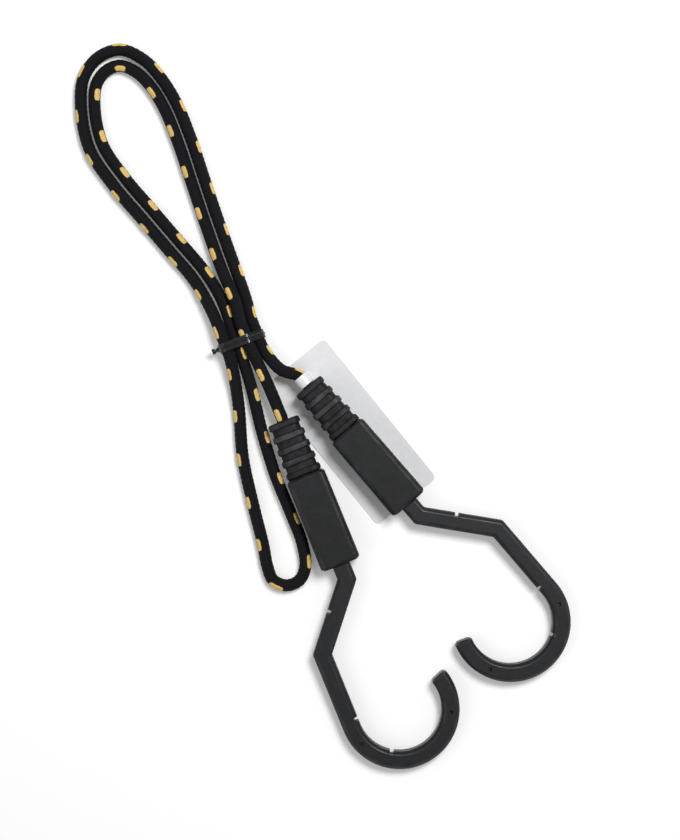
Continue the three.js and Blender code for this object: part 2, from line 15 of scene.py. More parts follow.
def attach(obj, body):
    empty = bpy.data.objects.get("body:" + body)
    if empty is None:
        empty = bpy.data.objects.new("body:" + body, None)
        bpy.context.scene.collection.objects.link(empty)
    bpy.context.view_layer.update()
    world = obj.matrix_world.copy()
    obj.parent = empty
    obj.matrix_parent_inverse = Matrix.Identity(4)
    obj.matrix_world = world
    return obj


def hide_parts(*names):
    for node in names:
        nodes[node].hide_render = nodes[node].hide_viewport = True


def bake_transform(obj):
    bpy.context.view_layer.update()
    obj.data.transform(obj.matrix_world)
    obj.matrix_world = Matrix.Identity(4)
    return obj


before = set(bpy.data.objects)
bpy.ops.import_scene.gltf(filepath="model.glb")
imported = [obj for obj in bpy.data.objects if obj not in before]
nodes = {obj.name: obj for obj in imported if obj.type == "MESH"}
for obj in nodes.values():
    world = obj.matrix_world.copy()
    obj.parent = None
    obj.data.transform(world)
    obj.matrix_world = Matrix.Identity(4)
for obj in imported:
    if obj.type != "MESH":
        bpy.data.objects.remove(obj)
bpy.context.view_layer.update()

# %% [markdown]
# A few small helpers carry all the materials and node trees below. Colours are written as they look on a
# screen, in sRGB hex, while shaders work in linear light, so one function converts them. Another adds a
# node with its settings and feeds its inputs. An input takes a plain value, the output of an earlier node,
# or that node itself, which stands for its first output.

# %% Colours and nodes
MM = 0.001
MATH = "ShaderNodeMath"
MIX = "ShaderNodeMix"
NOISE = "ShaderNodeTexNoise"
RANGE = "ShaderNodeMapRange"
BUMP = "ShaderNodeBump"


def linear(colour):
    channels = [int(colour[i:i + 2], 16) / 255 for i in (1, 3, 5)]
    return [c / 12.92 if c <= 0.04045 else ((c + 0.055) / 1.055) ** 2.4 for c in channels] + [1.0]


def feed(tree, node, inputs):
    for key, value in inputs.items():
        if isinstance(value, bpy.types.Node):
            value = value.outputs[0]
        if isinstance(value, bpy.types.NodeSocket):
            tree.links.new(value, node.inputs[key])
        else:
            node.inputs[key].default_value = value


def add(tree, kind, inputs=None, **settings):
    node = tree.nodes.new(kind)
    for name, value in settings.items():
        setattr(node, name, value)
    feed(tree, node, inputs or {})
    return node


def new_material(name):
    material = bpy.data.materials.new(name)
    material.use_nodes = True
    return material, material.node_tree, material.node_tree.nodes["Principled BSDF"]


print("black reads as", [round(c, 4) for c in linear("#1b1b1d")])

# %% [markdown]
# The cord lies flat, and the picture is taken from straight above it. A long lens keeps both ends free of
# perspective. The lens, the sensor and the height of the view give the camera's distance.

# %% Camera
VIEW_CENTRE = (-0.03975, 0.07614)
VIEW_HEIGHT = 0.42
MIDDLE_LEVEL = 5 * MM
CAMERA_LENS = 85
CAMERA_SENSOR = 36

scene = bpy.context.scene
scene.view_settings.view_transform = "Standard"

camera = bpy.data.objects.new("camera", bpy.data.cameras.new("camera"))
camera.data.lens = CAMERA_LENS
camera.data.sensor_width = CAMERA_SENSOR
camera.location = (*VIEW_CENTRE, VIEW_HEIGHT * CAMERA_LENS / CAMERA_SENSOR + MIDDLE_LEVEL)
scene.collection.objects.link(camera)
scene.camera = camera
print("camera", [round(c, 4) for c in camera.location])

# %% [markdown]
# The floor is white: its own diffuse colour keeps the soft shadow, and a little light that only the camera
# and reflections see lifts the rest of it to the white of the page. A key lamp from the upper right draws
# the shadows, and a wide, weak lamp from the left keeps them soft.

# %% Floor and light
FLOOR_HALF = 30
FLOOR_LEVEL = -0.2 * MM
FLOOR_GLOW = 0.16
SKY_STRENGTH = 0.32
LAMPS = {"key": ((0.3, 0.5, 1.15), 0.4, 11.6), "fill": ((-0.9, -0.2, 1.0), 0.9, 2.4)}

paper, tree, shader = new_material("white paper sweep")
rays = add(tree, "ShaderNodeLightPath").outputs
seen = rays["Is Camera Ray"]
for kind in ("Is Glossy Ray", "Is Transmission Ray"):
    seen = add(tree, MATH, {0: seen, 1: rays[kind]}, operation="MAXIMUM")
glow = add(tree, MATH, {0: seen, 1: FLOOR_GLOW}, operation="MULTIPLY")
feed(tree, shader, {
    "Base Color": linear("#f4f4f4"), "Roughness": 0.9, "Specular IOR Level": 0.1,
    "Emission Color": linear("#ffffff"), "Emission Strength": glow,
})

floor_mesh = bpy.data.meshes.new("floor")
corners = [(x * FLOOR_HALF, y * FLOOR_HALF, 0) for x, y in ((-1, -1), (1, -1), (1, 1), (-1, 1))]
floor_mesh.from_pydata(corners, [], [(0, 1, 2, 3)])
floor_mesh.materials.append(paper)
floor = bpy.data.objects.new("floor", floor_mesh)
floor.location = (0, 0, FLOOR_LEVEL)
scene.collection.objects.link(floor)

world = bpy.data.worlds.new("studio")
world.use_nodes = True
sky = world.node_tree.nodes["Background"]
feed(world.node_tree, sky, {"Color": linear("#ffffff"), "Strength": SKY_STRENGTH})
scene.world = world

for name, (place, width, power) in LAMPS.items():
    lamp = bpy.data.objects.new(name, bpy.data.lights.new(name, "AREA"))
    lamp.data.size = width
    lamp.data.energy = power
    lamp.location = place
    aim = Vector((*VIEW_CENTRE, 0)) - Vector(place)
    lamp.rotation_euler = aim.to_track_quat("-Z", "Y").to_euler()
    scene.collection.objects.link(lamp)
    print(name, "lamp,", power, "W")

# %% [markdown]
# The cord is one length of elastic, folded twice: up round the outer loop, down through the tie, round the
# lower loop, up again and round the inner loop. The points along it were chosen from the picture. In
# the tie the four strands lie side by side, at two heights.

# %% The points of the hank
CORD_DIAMETER = 6 * MM
WAIST = (-0.0888, 0.1155)
WAIST_HEADING = math.radians(-69)
WAIST_RUN = 4 * MM
STRAND_MIDDLE = 1.5
STRAND_PITCH = 5.55 * MM
LOW_STRAND = 4.4 * MM
HIGH_STRAND = 8 * MM

OUTER_LOOP = [
    (-0.0868, 0.1365, 0.0035), (-0.0928, 0.1538, 0.0031), (-0.1006, 0.1757, 0.0031),
    (-0.108, 0.1977, 0.0031), (-0.1143, 0.2167, 0.0031), (-0.1215, 0.2344, 0.0031),
    (-0.1293, 0.2472, 0.0031), (-0.1383, 0.2567, 0.0031), (-0.1498, 0.2616, 0.0031),
    (-0.161, 0.2576, 0.0031), (-0.1681, 0.2477, 0.0031), (-0.1695, 0.2335, 0.0031),
    (-0.1653, 0.212, 0.0031), (-0.1532, 0.1935, 0.0031), (-0.1391, 0.177, 0.0031),
    (-0.1261, 0.1618, 0.0031), (-0.1126, 0.1458, 0.0034), (-0.1033, 0.1295, 0.0062),
]
LOWER_LOOP = [
    (-0.093, 0.1, 0.0062), (-0.0904, 0.0825, 0.0035), (-0.0884, 0.0575, 0.0031), (-0.0833, 0.034, 0.0031),
    (-0.0783, 0.014, 0.0031), (-0.0761, 0.0028, 0.0031), (-0.0733, -0.0039, 0.0031),
    (-0.0666, -0.0067, 0.0031), (-0.0599, -0.0039, 0.0031), (-0.0571, 0.0028, 0.0031),
    (-0.0587, 0.0145, 0.0031), (-0.0642, 0.029, 0.0031), (-0.0723, 0.049, 0.0031), (-0.079, 0.071, 0.0031),
    (-0.0843, 0.093, 0.0033),
]
INNER_LOOP = [
    (-0.0987, 0.1357, 0.0034), (-0.107, 0.1498, 0.0031), (-0.1209, 0.1663, 0.0031),
    (-0.1339, 0.1815, 0.0031), (-0.1477, 0.1977, 0.0031), (-0.1589, 0.2147, 0.0031),
    (-0.1627, 0.2335, 0.0031), (-0.1616, 0.2446, 0.0031), (-0.1568, 0.2511, 0.0031),
    (-0.15, 0.2536, 0.0031), (-0.1419, 0.2504, 0.0031), (-0.1345, 0.2431, 0.0031),
    (-0.1275, 0.2316, 0.0031), (-0.1206, 0.2144, 0.0031), (-0.1143, 0.1956, 0.0031),
    (-0.1069, 0.1735, 0.0031), (-0.099, 0.1517, 0.0046), (-0.0923, 0.1357, 0.0074),
]


def waist_point(strand, along):
    across = (strand - STRAND_MIDDLE) * STRAND_PITCH
    x, y = Matrix.Rotation(WAIST_HEADING, 2) @ Vector((along, across))
    return (WAIST[0] + x, WAIST[1] + y, LOW_STRAND if strand % 2 else HIGH_STRAND)


print("strands at", [round(waist_point(strand, 0)[0], 4) for strand in range(4)])

# %% [markdown]
# A centripetal Catmull-Rom curve joins the points, because that curve never overshoots where points crowd
# together. It goes through every point, so the two ends of the hank are exactly where the leads take over.

# %% The route of the hank
CURVE_STEPS = 24
JUNCTION = -5 * MM
JUNCTION_RUN = 4 * MM


def smooth(route):
    p = np.array(route, float)
    p = np.vstack([2 * p[0] - p[1], p, 2 * p[-1] - p[-2]])
    share = np.linspace(0, 1, CURVE_STEPS, endpoint=False)[:, None]
    spans = []
    for a, b, c, d in zip(p, p[1:], p[2:], p[3:]):
        before, here, after = (np.linalg.norm(v) ** 0.5 for v in (b - a, c - b, d - c))
        leave = ((b - a) / before - (c - a) / (before + here) + (c - b) / here) * here
        arrive = ((c - b) / here - (d - b) / (here + after) + (d - c) / after) * here
        cubic = 2 * b - 2 * c + leave + arrive
        square = 3 * c - 3 * b - 2 * leave - arrive
        spans.append(((cubic * share + square) * share + leave) * share + b)
    return np.vstack([*spans, p[-2]])


def run_length(points):
    return float(np.linalg.norm(np.diff(points, axis=0), axis=1).sum())


hank_path = smooth([
    waist_point(3, JUNCTION), waist_point(3, JUNCTION - JUNCTION_RUN), *OUTER_LOOP,
    waist_point(0, -WAIST_RUN), waist_point(0, WAIST_RUN), *LOWER_LOOP,
    waist_point(1, WAIST_RUN), waist_point(1, -WAIST_RUN), *INNER_LOOP,
    waist_point(2, JUNCTION - JUNCTION_RUN), waist_point(2, JUNCTION),
])
print(f"hank: {run_length(hank_path) / MM:.0f} mm of cord")

# %% [markdown]
# Each end is one rigid set of pieces with its own axes, in millimetres: x runs from the cord to the hook, z
# up out of the handle's broad face, and the origin is the middle of the handle's hook end. It lies on the
# handle's lower edge and on the far side of the hook, so it is tilted a little. End B is turned over, and
# end A lies on the tag.

# %% Where the two ends lie
HANDLE_LENGTH = 48
HANDLE_THICKNESS = 14
NECK_LENGTH = 28.9
FIT_GAP = 0.3
HOOK_HALF = 4.5
HOOK_REACH = 106.4
MOUTH = -HANDLE_LENGTH - FIT_GAP - NECK_LENGTH
END_PLACES = {
    "a": {"x": -5.38, "y": 34.61, "heading": -49.4, "turned_over": False, "lift": 0.7},
    "b": {"x": -39.25, "y": 4.24, "heading": -68, "turned_over": True, "lift": 0},
}


def end_place(x, y, heading, turned_over, lift):
    drop = HANDLE_THICKNESS / 2 - HOOK_HALF
    tilt = math.atan2(drop, HOOK_REACH) + math.asin(lift / math.hypot(drop, HOOK_REACH))
    height = lift + HANDLE_THICKNESS / 2 * math.cos(tilt)
    return (
        Matrix.Translation(Vector((x, y, height)) * MM)
        @ Matrix.Rotation(math.radians(heading), 4, "Z")
        @ Matrix.Rotation(tilt, 4, "Y")
        @ Matrix.Rotation(math.pi if turned_over else 0, 4, "X")
        @ Matrix.Scale(MM, 4)
    )


ends = {letter: end_place(**numbers) for letter, numbers in END_PLACES.items()}
for letter, place in ends.items():
    print("mouth", letter, [round(c, 4) for c in place @ Vector((MOUTH, 0, 0))])

# %% [markdown]
# A lead is the stretch of cord between the hank and the mouth of a strain relief. It goes on inside,
# through the crimped ferrule, so its path runs on to there.

# %% The two leads
TAIL_END = -19.2
LEAD_STRAIGHT = 6.2
LEAD_STRAND = {"a": 3, "b": 2}
LEAD_MIDDLE = {
    "a": [(-0.0756, 0.108, 0.006), (-0.0688, 0.101, 0.0083)],
    "b": [(-0.0808, 0.1047, 0.0083), (-0.0758, 0.0942, 0.0089)],
}


def lead_path(letter):
    strand = LEAD_STRAND[letter]
    stops = (MOUTH - LEAD_STRAIGHT, MOUTH, -HANDLE_LENGTH, TAIL_END)
    on_axis = [tuple(ends[letter] @ Vector((x, 0, 0))) for x in stops]
    from_hank = [waist_point(strand, JUNCTION), waist_point(strand, WAIST_RUN)]
    return smooth(from_hank + LEAD_MIDDLE[letter] + on_axis)


lead_paths = {letter: lead_path(letter) for letter in ends}
for letter, path in lead_paths.items():
    print(f"lead {letter}: {run_length(path) / MM:.1f} mm of cord to the end of its tail")

# %% [markdown]
# The cord is rubber in a braided sleeve: bundles of yarn wind round it both ways, each passing over two
# bundles and under two. A yellow yarn laid along the cord shows as a fleck once in every pitch, on two
# sides. That is a shape with a rule along a path, so a node tree makes it: rings along the curve, a height
# for each point from where it falls in the braid, and a map of the surface that the material can read. The
# sizes are the tree's named inputs.

# %% A node tree for braided cord
BRAID_SIZES = {
    "Radius": 2.87 * MM,
    "Relief": 0.26 * MM,
    "Carriers": 8.0,
    "Lay": 21 * MM,
    "Ring Spacing": 0.5 * MM,
    "Fleck Pitch": 21.8 * MM,
    "Fleck Length": 6.4 * MM,
    "Fleck Width": 3.1 * MM,
    "Fleck Height": 0.16 * MM,
    "Start": 0.0,
    "Row Turn": 0.0,
    "Row Drift": 0.0,
}

braid = bpy.data.node_groups.new("braided cord", "GeometryNodeTree")
braid.interface.new_socket("Geometry", in_out="INPUT", socket_type="NodeSocketGeometry")
for name, value in BRAID_SIZES.items():
    socket = braid.interface.new_socket(name, in_out="INPUT", socket_type="NodeSocketFloat")
    socket.default_value = value
braid.interface.new_socket("Material", in_out="INPUT", socket_type="NodeSocketMaterial")
braid.interface.new_socket("Geometry", in_out="OUTPUT", socket_type="NodeSocketGeometry")
given = add(braid, "NodeGroupInput").outputs
print("braid tree:", len(BRAID_SIZES), "sizes")

# %% [markdown]
# First comes a plain tube. The line is cut into even steps, and a circle is drawn along it. Both remember
# where they are, along the cord and around it, and that gives each point a place on the cord: v along it in
# metres, and u round it in turns from the first row of flecks.

# %% The tube and the place on it
STORE = "GeometryNodeStoreNamedAttribute"
READ = "GeometryNodeInputNamedAttribute"
ON_POINTS = {"data_type": "FLOAT", "domain": "POINT"}
BRAID_SIDES = 40

line = add(braid, "GeometryNodeMeshToCurve", {"Mesh": given["Geometry"]})
even = {"Curve": line, "Length": given["Ring Spacing"]}
rings = add(braid, "GeometryNodeResampleCurve", even, mode="LENGTH")
level = add(braid, "GeometryNodeSetCurveNormal", {"Curve": rings}, mode="Z_UP")
length = add(braid, "GeometryNodeSplineParameter").outputs["Length"]
along = add(braid, MATH, {0: length, 1: given["Start"]}, operation="ADD")
path = add(braid, STORE, {"Geometry": level, "Name": "along", "Value": along}, **ON_POINTS)
circle = {"Resolution": BRAID_SIDES + 1, "Radius": given["Radius"], "Start Angle": 0.0,
          "Sweep Angle": 2 * math.pi}
ring = add(braid, "GeometryNodeCurveArc", circle, mode="RADIUS")
part_way = add(braid, "GeometryNodeSplineParameter").outputs["Factor"]
section = add(braid, STORE, {"Geometry": ring, "Name": "around", "Value": part_way}, **ON_POINTS)
tube = add(braid, "GeometryNodeCurveToMesh", {"Curve": path, "Profile Curve": section})

v = add(braid, READ, {"Name": "along"}, data_type="FLOAT").outputs["Attribute"]
around = add(braid, READ, {"Name": "around"}, data_type="FLOAT").outputs["Attribute"]
drift = add(braid, MATH, {0: v, 1: given["Row Drift"], 2: given["Row Turn"]}, operation="MULTIPLY_ADD")
u = add(braid, MATH, {0: around, 1: drift}, operation="SUBTRACT")
print("tube:", BRAID_SIDES, "sides")

# %% [markdown]
# With A and B counting the bundles that wind each way, A + B says which one is on top: two steps of every
# four belong to one direction, and the other two to the other. A bundle is arched across, and along its
# float it rises to a crown and dives under again.

# %% The height of the braid
REPEAT = 4.0
TOP_CHANGES = 1.5
CROWN_ENDS = 0.55


def bundles(tree, u, v, sizes):
    turns = add(tree, MATH, {0: v, 1: sizes["Lay"]}, operation="DIVIDE")
    counts, wholes = [], []
    for operation in ("ADD", "SUBTRACT"):
        way = add(tree, MATH, {0: u, 1: turns}, operation=operation)
        counts.append(add(tree, MATH, {0: way, 1: sizes["Carriers"]}, operation="MULTIPLY"))
        wholes.append(add(tree, MATH, {0: counts[-1]}, operation="FLOOR"))
    both = add(tree, MATH, {0: wholes[0], 1: wholes[1]}, operation="ADD")
    step = add(tree, MATH, {0: both, 1: REPEAT}, operation="FLOORED_MODULO")
    b_on_top = add(tree, MATH, {0: step, 1: TOP_CHANGES}, operation="GREATER_THAN")
    return counts, step, b_on_top


counts, step, b_on_top = bundles(braid, u, v, given)
parts = [add(braid, MATH, {0: count}, operation="FRACT") for count in counts]
across = add(braid, MIX, {"Factor": b_on_top, "A": parts[0], "B": parts[1]}, data_type="FLOAT")
onward = add(braid, MIX, {"Factor": b_on_top, "A": parts[1], "B": parts[0]}, data_type="FLOAT")
in_float = add(braid, MATH, {0: step, 1: REPEAT / 2}, operation="FLOORED_MODULO")
float_way = add(braid, MATH, {0: in_float, 1: onward}, operation="ADD")
quarter = add(braid, MATH, {0: float_way, 1: math.pi / 2}, operation="MULTIPLY")
rise = add(braid, MATH, {0: quarter}, operation="SINE")
crown = add(braid, MATH, {0: rise, 1: 1 - CROWN_ENDS, 2: CROWN_ENDS}, operation="MULTIPLY_ADD")
side = add(braid, MATH, {0: across, 1: math.pi}, operation="MULTIPLY")
arch = add(braid, MATH, {0: side}, operation="SINE")
weave = add(braid, MATH, {0: arch, 1: crown}, operation="MULTIPLY")
weave_height = add(braid, MATH, {0: weave, 1: given["Relief"]}, operation="MULTIPLY")
print("braid:", BRAID_SIZES["Carriers"], "bundles each way")

# %% [markdown]
# For the flecks the tree works out how far a point is from the nearest one, as a share of the fleck's half
# size. The second row is half a pitch behind the first. Fourth powers give a fleck the blunt ends and
# straight sides of a short float of yarn.

# %% The height of the flecks
FLECK_ROWS = 2.0

row_count = add(braid, MATH, {0: u, 1: FLECK_ROWS, 2: 0.5}, operation="MULTIPLY_ADD")
row = add(braid, MATH, {0: row_count}, operation="FLOOR")
from_row = add(braid, MATH, {0: row_count}, operation="FRACT")
from_row = add(braid, MATH, {0: from_row, 1: 0.5}, operation="SUBTRACT")
reach = add(braid, MATH, {0: given["Radius"], 1: given["Fleck Width"]}, operation="DIVIDE")
reach = add(braid, MATH, {0: reach, 1: 2 * math.pi}, operation="MULTIPLY")
x_share = add(braid, MATH, {0: from_row, 1: reach}, operation="MULTIPLY")
pitches = add(braid, MATH, {0: v, 1: given["Fleck Pitch"]}, operation="DIVIDE")
pitches = add(braid, MATH, {0: row, 1: 1 / FLECK_ROWS, 2: pitches}, operation="MULTIPLY_ADD")
pitches = add(braid, MATH, {0: pitches}, operation="FRACT")
pitches = add(braid, MATH, {0: pitches, 1: 0.5}, operation="SUBTRACT")
stretch = add(braid, MATH, {0: given["Fleck Pitch"], 1: given["Fleck Length"]}, operation="DIVIDE")
stretch = add(braid, MATH, {0: stretch, 1: 2.0}, operation="MULTIPLY")
y_share = add(braid, MATH, {0: pitches, 1: stretch}, operation="MULTIPLY")
fleck = 0.0
for share in (x_share, y_share):
    square = add(braid, MATH, {0: share, 1: share}, operation="MULTIPLY")
    fleck = add(braid, MATH, {0: square, 1: square, 2: fleck}, operation="MULTIPLY_ADD")
bulge = add(braid, MATH, {0: 1.0, 1: fleck}, operation="SUBTRACT", use_clamp=True)
raised = {0: bulge, 1: given["Fleck Height"], 2: weave_height}
height = add(braid, MATH, raised, operation="MULTIPLY_ADD")
print("flecks:", FLECK_ROWS, "rows")

# %% [markdown]
# The map and the heights go on the open tube, then its seam is joined and the points move out. The fleck's
# share stays on the mesh as well, for the material to read.

# %% Raise the braid
SEAM_GAP = 1e-6

place_on = add(braid, "ShaderNodeCombineXYZ", {0: u, 1: v})
measured = add(braid, STORE, {"Geometry": tube, "Name": "UVMap", "Value": place_on},
               data_type="FLOAT2", domain="CORNER")
for name, value in (("fleck", fleck), ("height", height)):
    measured = add(braid, STORE, {"Geometry": measured, "Name": name, "Value": value}, **ON_POINTS)
joined = add(braid, "GeometryNodeMergeByDistance", {"Geometry": measured, "Distance": SEAM_GAP})
outward = add(braid, "GeometryNodeInputNormal")
lift = add(braid, READ, {"Name": "height"}, data_type="FLOAT").outputs["Attribute"]
move = add(braid, "ShaderNodeVectorMath", {0: outward, "Scale": lift}, operation="SCALE")
moved = add(braid, "GeometryNodeSetPosition", {"Geometry": joined, "Offset": move})
real = add(braid, "GeometryNodeRealizeInstances", {"Geometry": moved})
dressed = add(braid, "GeometryNodeSetMaterial", {"Geometry": real, "Material": given["Material"]})
add(braid, "NodeGroupOutput", {"Geometry": dressed})
print("braid tree:", len(braid.nodes), "nodes")

# %% [markdown]
# The sleeve is spun polyester dyed black: dull, a little fuzzy, with each bundle made of a few parallel
# yarns. The yarns are too fine to model, so the material finds which bundle is on top, as the tree does,
# and raises a small ridge for each yarn in it. Each yarn is painted paler on its crest as a painted
# highlight and darker in the hollows beside it as painted shade. The flecks are the same yarn in yellow,
# with fibres along the cord that get the same painted highlight and shade.

# %% Finish: braided polyester with yellow flecks
YARNS_IN_BUNDLE = 4.0
# Real fibres are finer than 0.1 mm, drawn at 0.45 mm so that they show
FIBRE_WIDTH = 0.45 * MM
FUZZ_SIZE = 0.6 * MM
# Each pair runs from the painted shade between yarns to the painted highlight on their crests
BLACK_YARN_SHADE_TO_HIGHLIGHT = ("#030304", "#1a191d")
YELLOW_YARN_SHADE_TO_HIGHLIGHT = ("#c79c50", "#f2d283")

braided_polyester, tree, shader = new_material("braided polyester, black with yellow flecks")
on_cord = add(tree, "ShaderNodeUVMap", uv_map="UVMap")
u, v = add(tree, "ShaderNodeSeparateXYZ", {0: on_cord}).outputs[:2]
counts, step, b_on_top = bundles(tree, u, v, BRAID_SIZES)
across = add(tree, MIX, {"Factor": b_on_top, "A": counts[0], "B": counts[1]})
ridges = []
for place, count in ((across, YARNS_IN_BUNDLE), (u, math.pi * CORD_DIAMETER / FIBRE_WIDTH)):
    wave = add(tree, MATH, {0: place, 1: count * math.pi}, operation="MULTIPLY")
    wave = add(tree, MATH, {0: wave}, operation="SINE")
    ridges.append(add(tree, MATH, {0: wave}, operation="ABSOLUTE"))

at = add(tree, "ShaderNodeTexCoord").outputs["Object"]
fuzz = add(tree, NOISE, {"Vector": at, "Scale": 1 / FUZZ_SIZE, "Detail": 3.0}).outputs["Fac"]
share = add(tree, "ShaderNodeAttribute", attribute_name="fleck").outputs["Fac"]
ragged = add(tree, MATH, {0: fuzz, 1: 0.9, 2: share}, operation="MULTIPLY_ADD")
is_fleck = add(tree, RANGE, {"Value": ragged, "From Min": 1.5, "From Max": 1.2},
               interpolation_type="SMOOTHSTEP")
ridge = add(tree, MIX, {"Factor": is_fleck, "A": ridges[0], "B": ridges[1]})
yarns = []
# The ridge paints each yarn: dark in its hollows as painted shade, pale on its crest as painted highlight
for dark, light in (BLACK_YARN_SHADE_TO_HIGHLIGHT, YELLOW_YARN_SHADE_TO_HIGHLIGHT):
    yarn = add(tree, MIX, {"Factor": ridge, 6: linear(dark), 7: linear(light)}, data_type="RGBA")
    yarns.append(yarn.outputs[2])
colour = add(tree, MIX, {"Factor": is_fleck, 6: yarns[0], 7: yarns[1]}, data_type="RGBA").outputs[2]
surface = add(tree, MATH, {0: fuzz, 1: 0.5, 2: ridge}, operation="MULTIPLY_ADD")
bump = add(tree, BUMP, {"Strength": 0.7, "Distance": 0.12 * MM, "Height": surface})
feed(tree, shader, {
    "Base Color": colour, "Normal": bump, "Roughness": 0.75, "Specular IOR Level": 0.14,
    "Sheen Weight": 0.02, "Sheen Roughness": 0.4,
})
print("braid finish:", len(tree.nodes), "nodes")

# %% [markdown]
# Each stretch of cord starts as a bare line of points and gets the tree as a modifier. The result is kept
# as a plain mesh and its two open ends are filled. The row of flecks turns slowly along the cord, as it
# does on any length of cord that was folded by hand: it starts on the outer side of the loops and ends near
# the top. One fleck falls on the top of the outer loop, and the others are counted from there. Both leads
# read in the same direction as the hank, so the braid goes on without a seam: lead A ends where the hank
# starts, and lead B starts where the hank ends.

# %% Make the cords
ROW_TURN = 0.417
ROW_DRIFT = -0.106


def settle(piece):
    graph = bpy.context.evaluated_depsgraph_get()
    result = bpy.data.meshes.new_from_object(
        piece.evaluated_get(graph), preserve_all_data_layers=True, depsgraph=graph)
    piece.modifiers.clear()
    piece.data = result


def braided(name, path, start):
    wire = bpy.data.meshes.new(name)
    wire.from_pydata(path.tolist(), [(i, i + 1) for i in range(len(path) - 1)], [])
    cord = bpy.data.objects.new(name, wire)
    scene.collection.objects.link(cord)
    modifier = cord.modifiers.new("braid", "NODES")
    modifier.node_group = braid
    settings = {"Start": start, "Row Turn": ROW_TURN, "Row Drift": ROW_DRIFT, "Material": braided_polyester}
    for item in braid.interface.items_tree:
        if item.in_out == "INPUT" and item.name in settings:
            modifier[item.identifier] = settings[item.name]
    settle(cord)
    work = bmesh.new()
    work.from_mesh(cord.data)
    bmesh.ops.holes_fill(work, edges=[e for e in work.edges if e.is_boundary], sides=0)
    bmesh.ops.recalc_face_normals(work, faces=work.faces)
    work.to_mesh(cord.data)
    volume = work.calc_volume(signed=True) / MM**3
    work.free()
    cord.data.shade_smooth()
    print(name, len(cord.data.polygons), "faces, volume", round(volume), "mm3")
    return cord


to_top = run_length(hank_path[:np.argmax(hank_path[:, 1]) + 1])
lead_a, lead_b = lead_paths["a"], lead_paths["b"]
cords = {
    "hank": braided("hank_cord", hank_path, -to_top),
    "a": braided("lead_cord_a", lead_a[::-1], -to_top - run_length(lead_a)),
    "b": braided("lead_cord_b", lead_b, -to_top + run_length(hank_path)),
}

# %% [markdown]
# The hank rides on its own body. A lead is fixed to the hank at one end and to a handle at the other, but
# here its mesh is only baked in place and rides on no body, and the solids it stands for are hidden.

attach(cords["hank"], "hank")
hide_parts("hank_sheath", "hank_core")
for letter in lead_paths:
    lead = cords[letter]
    kinds = ("lead_sheath", "lead_core", "tail_sheath", "tail_core")
    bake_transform(lead)
    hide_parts(*(f"{kind}_{letter}" for kind in kinds))
print(len(cords), "stretches of cord")

# %% [markdown]
# The three plastics are all injection moulded, so one function makes their finishes. The handle is nylon
# with glass in it, from a spark-eroded mould that leaves a fine even grain, so the black looks grey in soft
# light. The strain relief is soft PVC, and the hook's covering polypropylene, both smoother. Wear polishes
# the grain away on the edges first, and hands leave faint smudges of a paler tone. Each piece stores how
# close a point is to an edge, and the finish reads that to make edges smoother and to paint them a bit
# lighter in patches: a painted highlight.

# %% Finishes: moulded plastics
HIGHLIGHT_PATCH_SIZE = 9 * MM
SMUDGE_SIZE = 5 * MM


def moulded(name, colour, lightened, roughness, polish, specular, grain, depth):
    material, tree, shader = new_material(name)
    at = add(tree, "ShaderNodeTexCoord").outputs["Object"]
    edge = add(tree, "ShaderNodeAttribute", attribute_name="edge").outputs["Fac"]
    highlight_patches = add(tree, NOISE, {"Vector": at, "Scale": 1 / HIGHLIGHT_PATCH_SIZE, "Detail": 5.0}).outputs["Fac"]
    highlight_patches = add(tree, RANGE, {"Value": highlight_patches, "From Min": 0.35, "From Max": 0.65})
    # Painted highlight on the edges, broken into patches by noise
    painted_edge_highlight = add(tree, MATH, {0: edge, 1: highlight_patches}, operation="MULTIPLY")
    swirl = {"Vector": at, "Scale": 1 / SMUDGE_SIZE, "Detail": 4.0, "Distortion": 1.2}
    smudge = add(tree, NOISE, swirl).outputs["Fac"]
    smudge = add(tree, RANGE, {"Value": smudge, "From Min": 0.3, "From Max": 0.8, "To Max": 0.3})
    # The paler tone is painted highlight on the edges, and real smudges anywhere
    lightening = add(tree, MATH, {0: painted_edge_highlight, 1: smudge}, operation="MAXIMUM")
    tone = add(tree, MIX, {"Factor": lightening, 6: linear(colour), 7: linear(lightened)}, data_type="RGBA").outputs[2]
    gloss = add(tree, RANGE, {"Value": lightening, "To Min": roughness, "To Max": polish})
    pits = add(tree, "ShaderNodeTexVoronoi", {"Vector": at, "Scale": 1 / grain}, feature="SMOOTH_F1")
    bump = add(tree, BUMP, {"Strength": 0.6, "Distance": depth, "Height": pits.outputs["Distance"]})
    feed(tree, shader, {
        "Base Color": tone, "Roughness": gloss, "Normal": bump, "Specular IOR Level": specular,
    })
    print(name, "grain", grain / MM, "mm")
    return material


# The real grain is about 0.15 mm, drawn at 0.55 mm and more so that it shows
handle_nylon = moulded(
    "glass-filled nylon, spark-eroded black", "#131416", "#2b2c2e",
    roughness=0.52, polish=0.36, specular=0.25, grain=0.55 * MM, depth=0.11 * MM)
relief_rubber = moulded(
    "soft PVC, moulded black", "#08080a", "#434447",
    roughness=0.58, polish=0.4, specular=0.22, grain=0.7 * MM, depth=0.03 * MM)
cover_plastic = moulded(
    "polypropylene, moulded black", "#151618", "#323336",
    roughness=0.44, polish=0.3, specular=0.34, grain=0.8 * MM, depth=0.06 * MM)

# %% [markdown]
# Moulded pieces are skins over rings of points: one section, repeated along the piece at a changing size.
# Real edges are never sharp, so every corner of a section or a profile is eased by a small arc, with a
# point just outside the arc that keeps the flat beside it flat when it is shaded.

# %% Eased lines and rings
ARC_STEPS = 6
FLAT_SHARES = (0.04, 0.2, 0.35, 0.47, 0.5, 0.53, 0.65, 0.8, 0.96)
FLAT_MIDDLE = FLAT_SHARES.index(0.5)
EASE_PARTS = 3.2


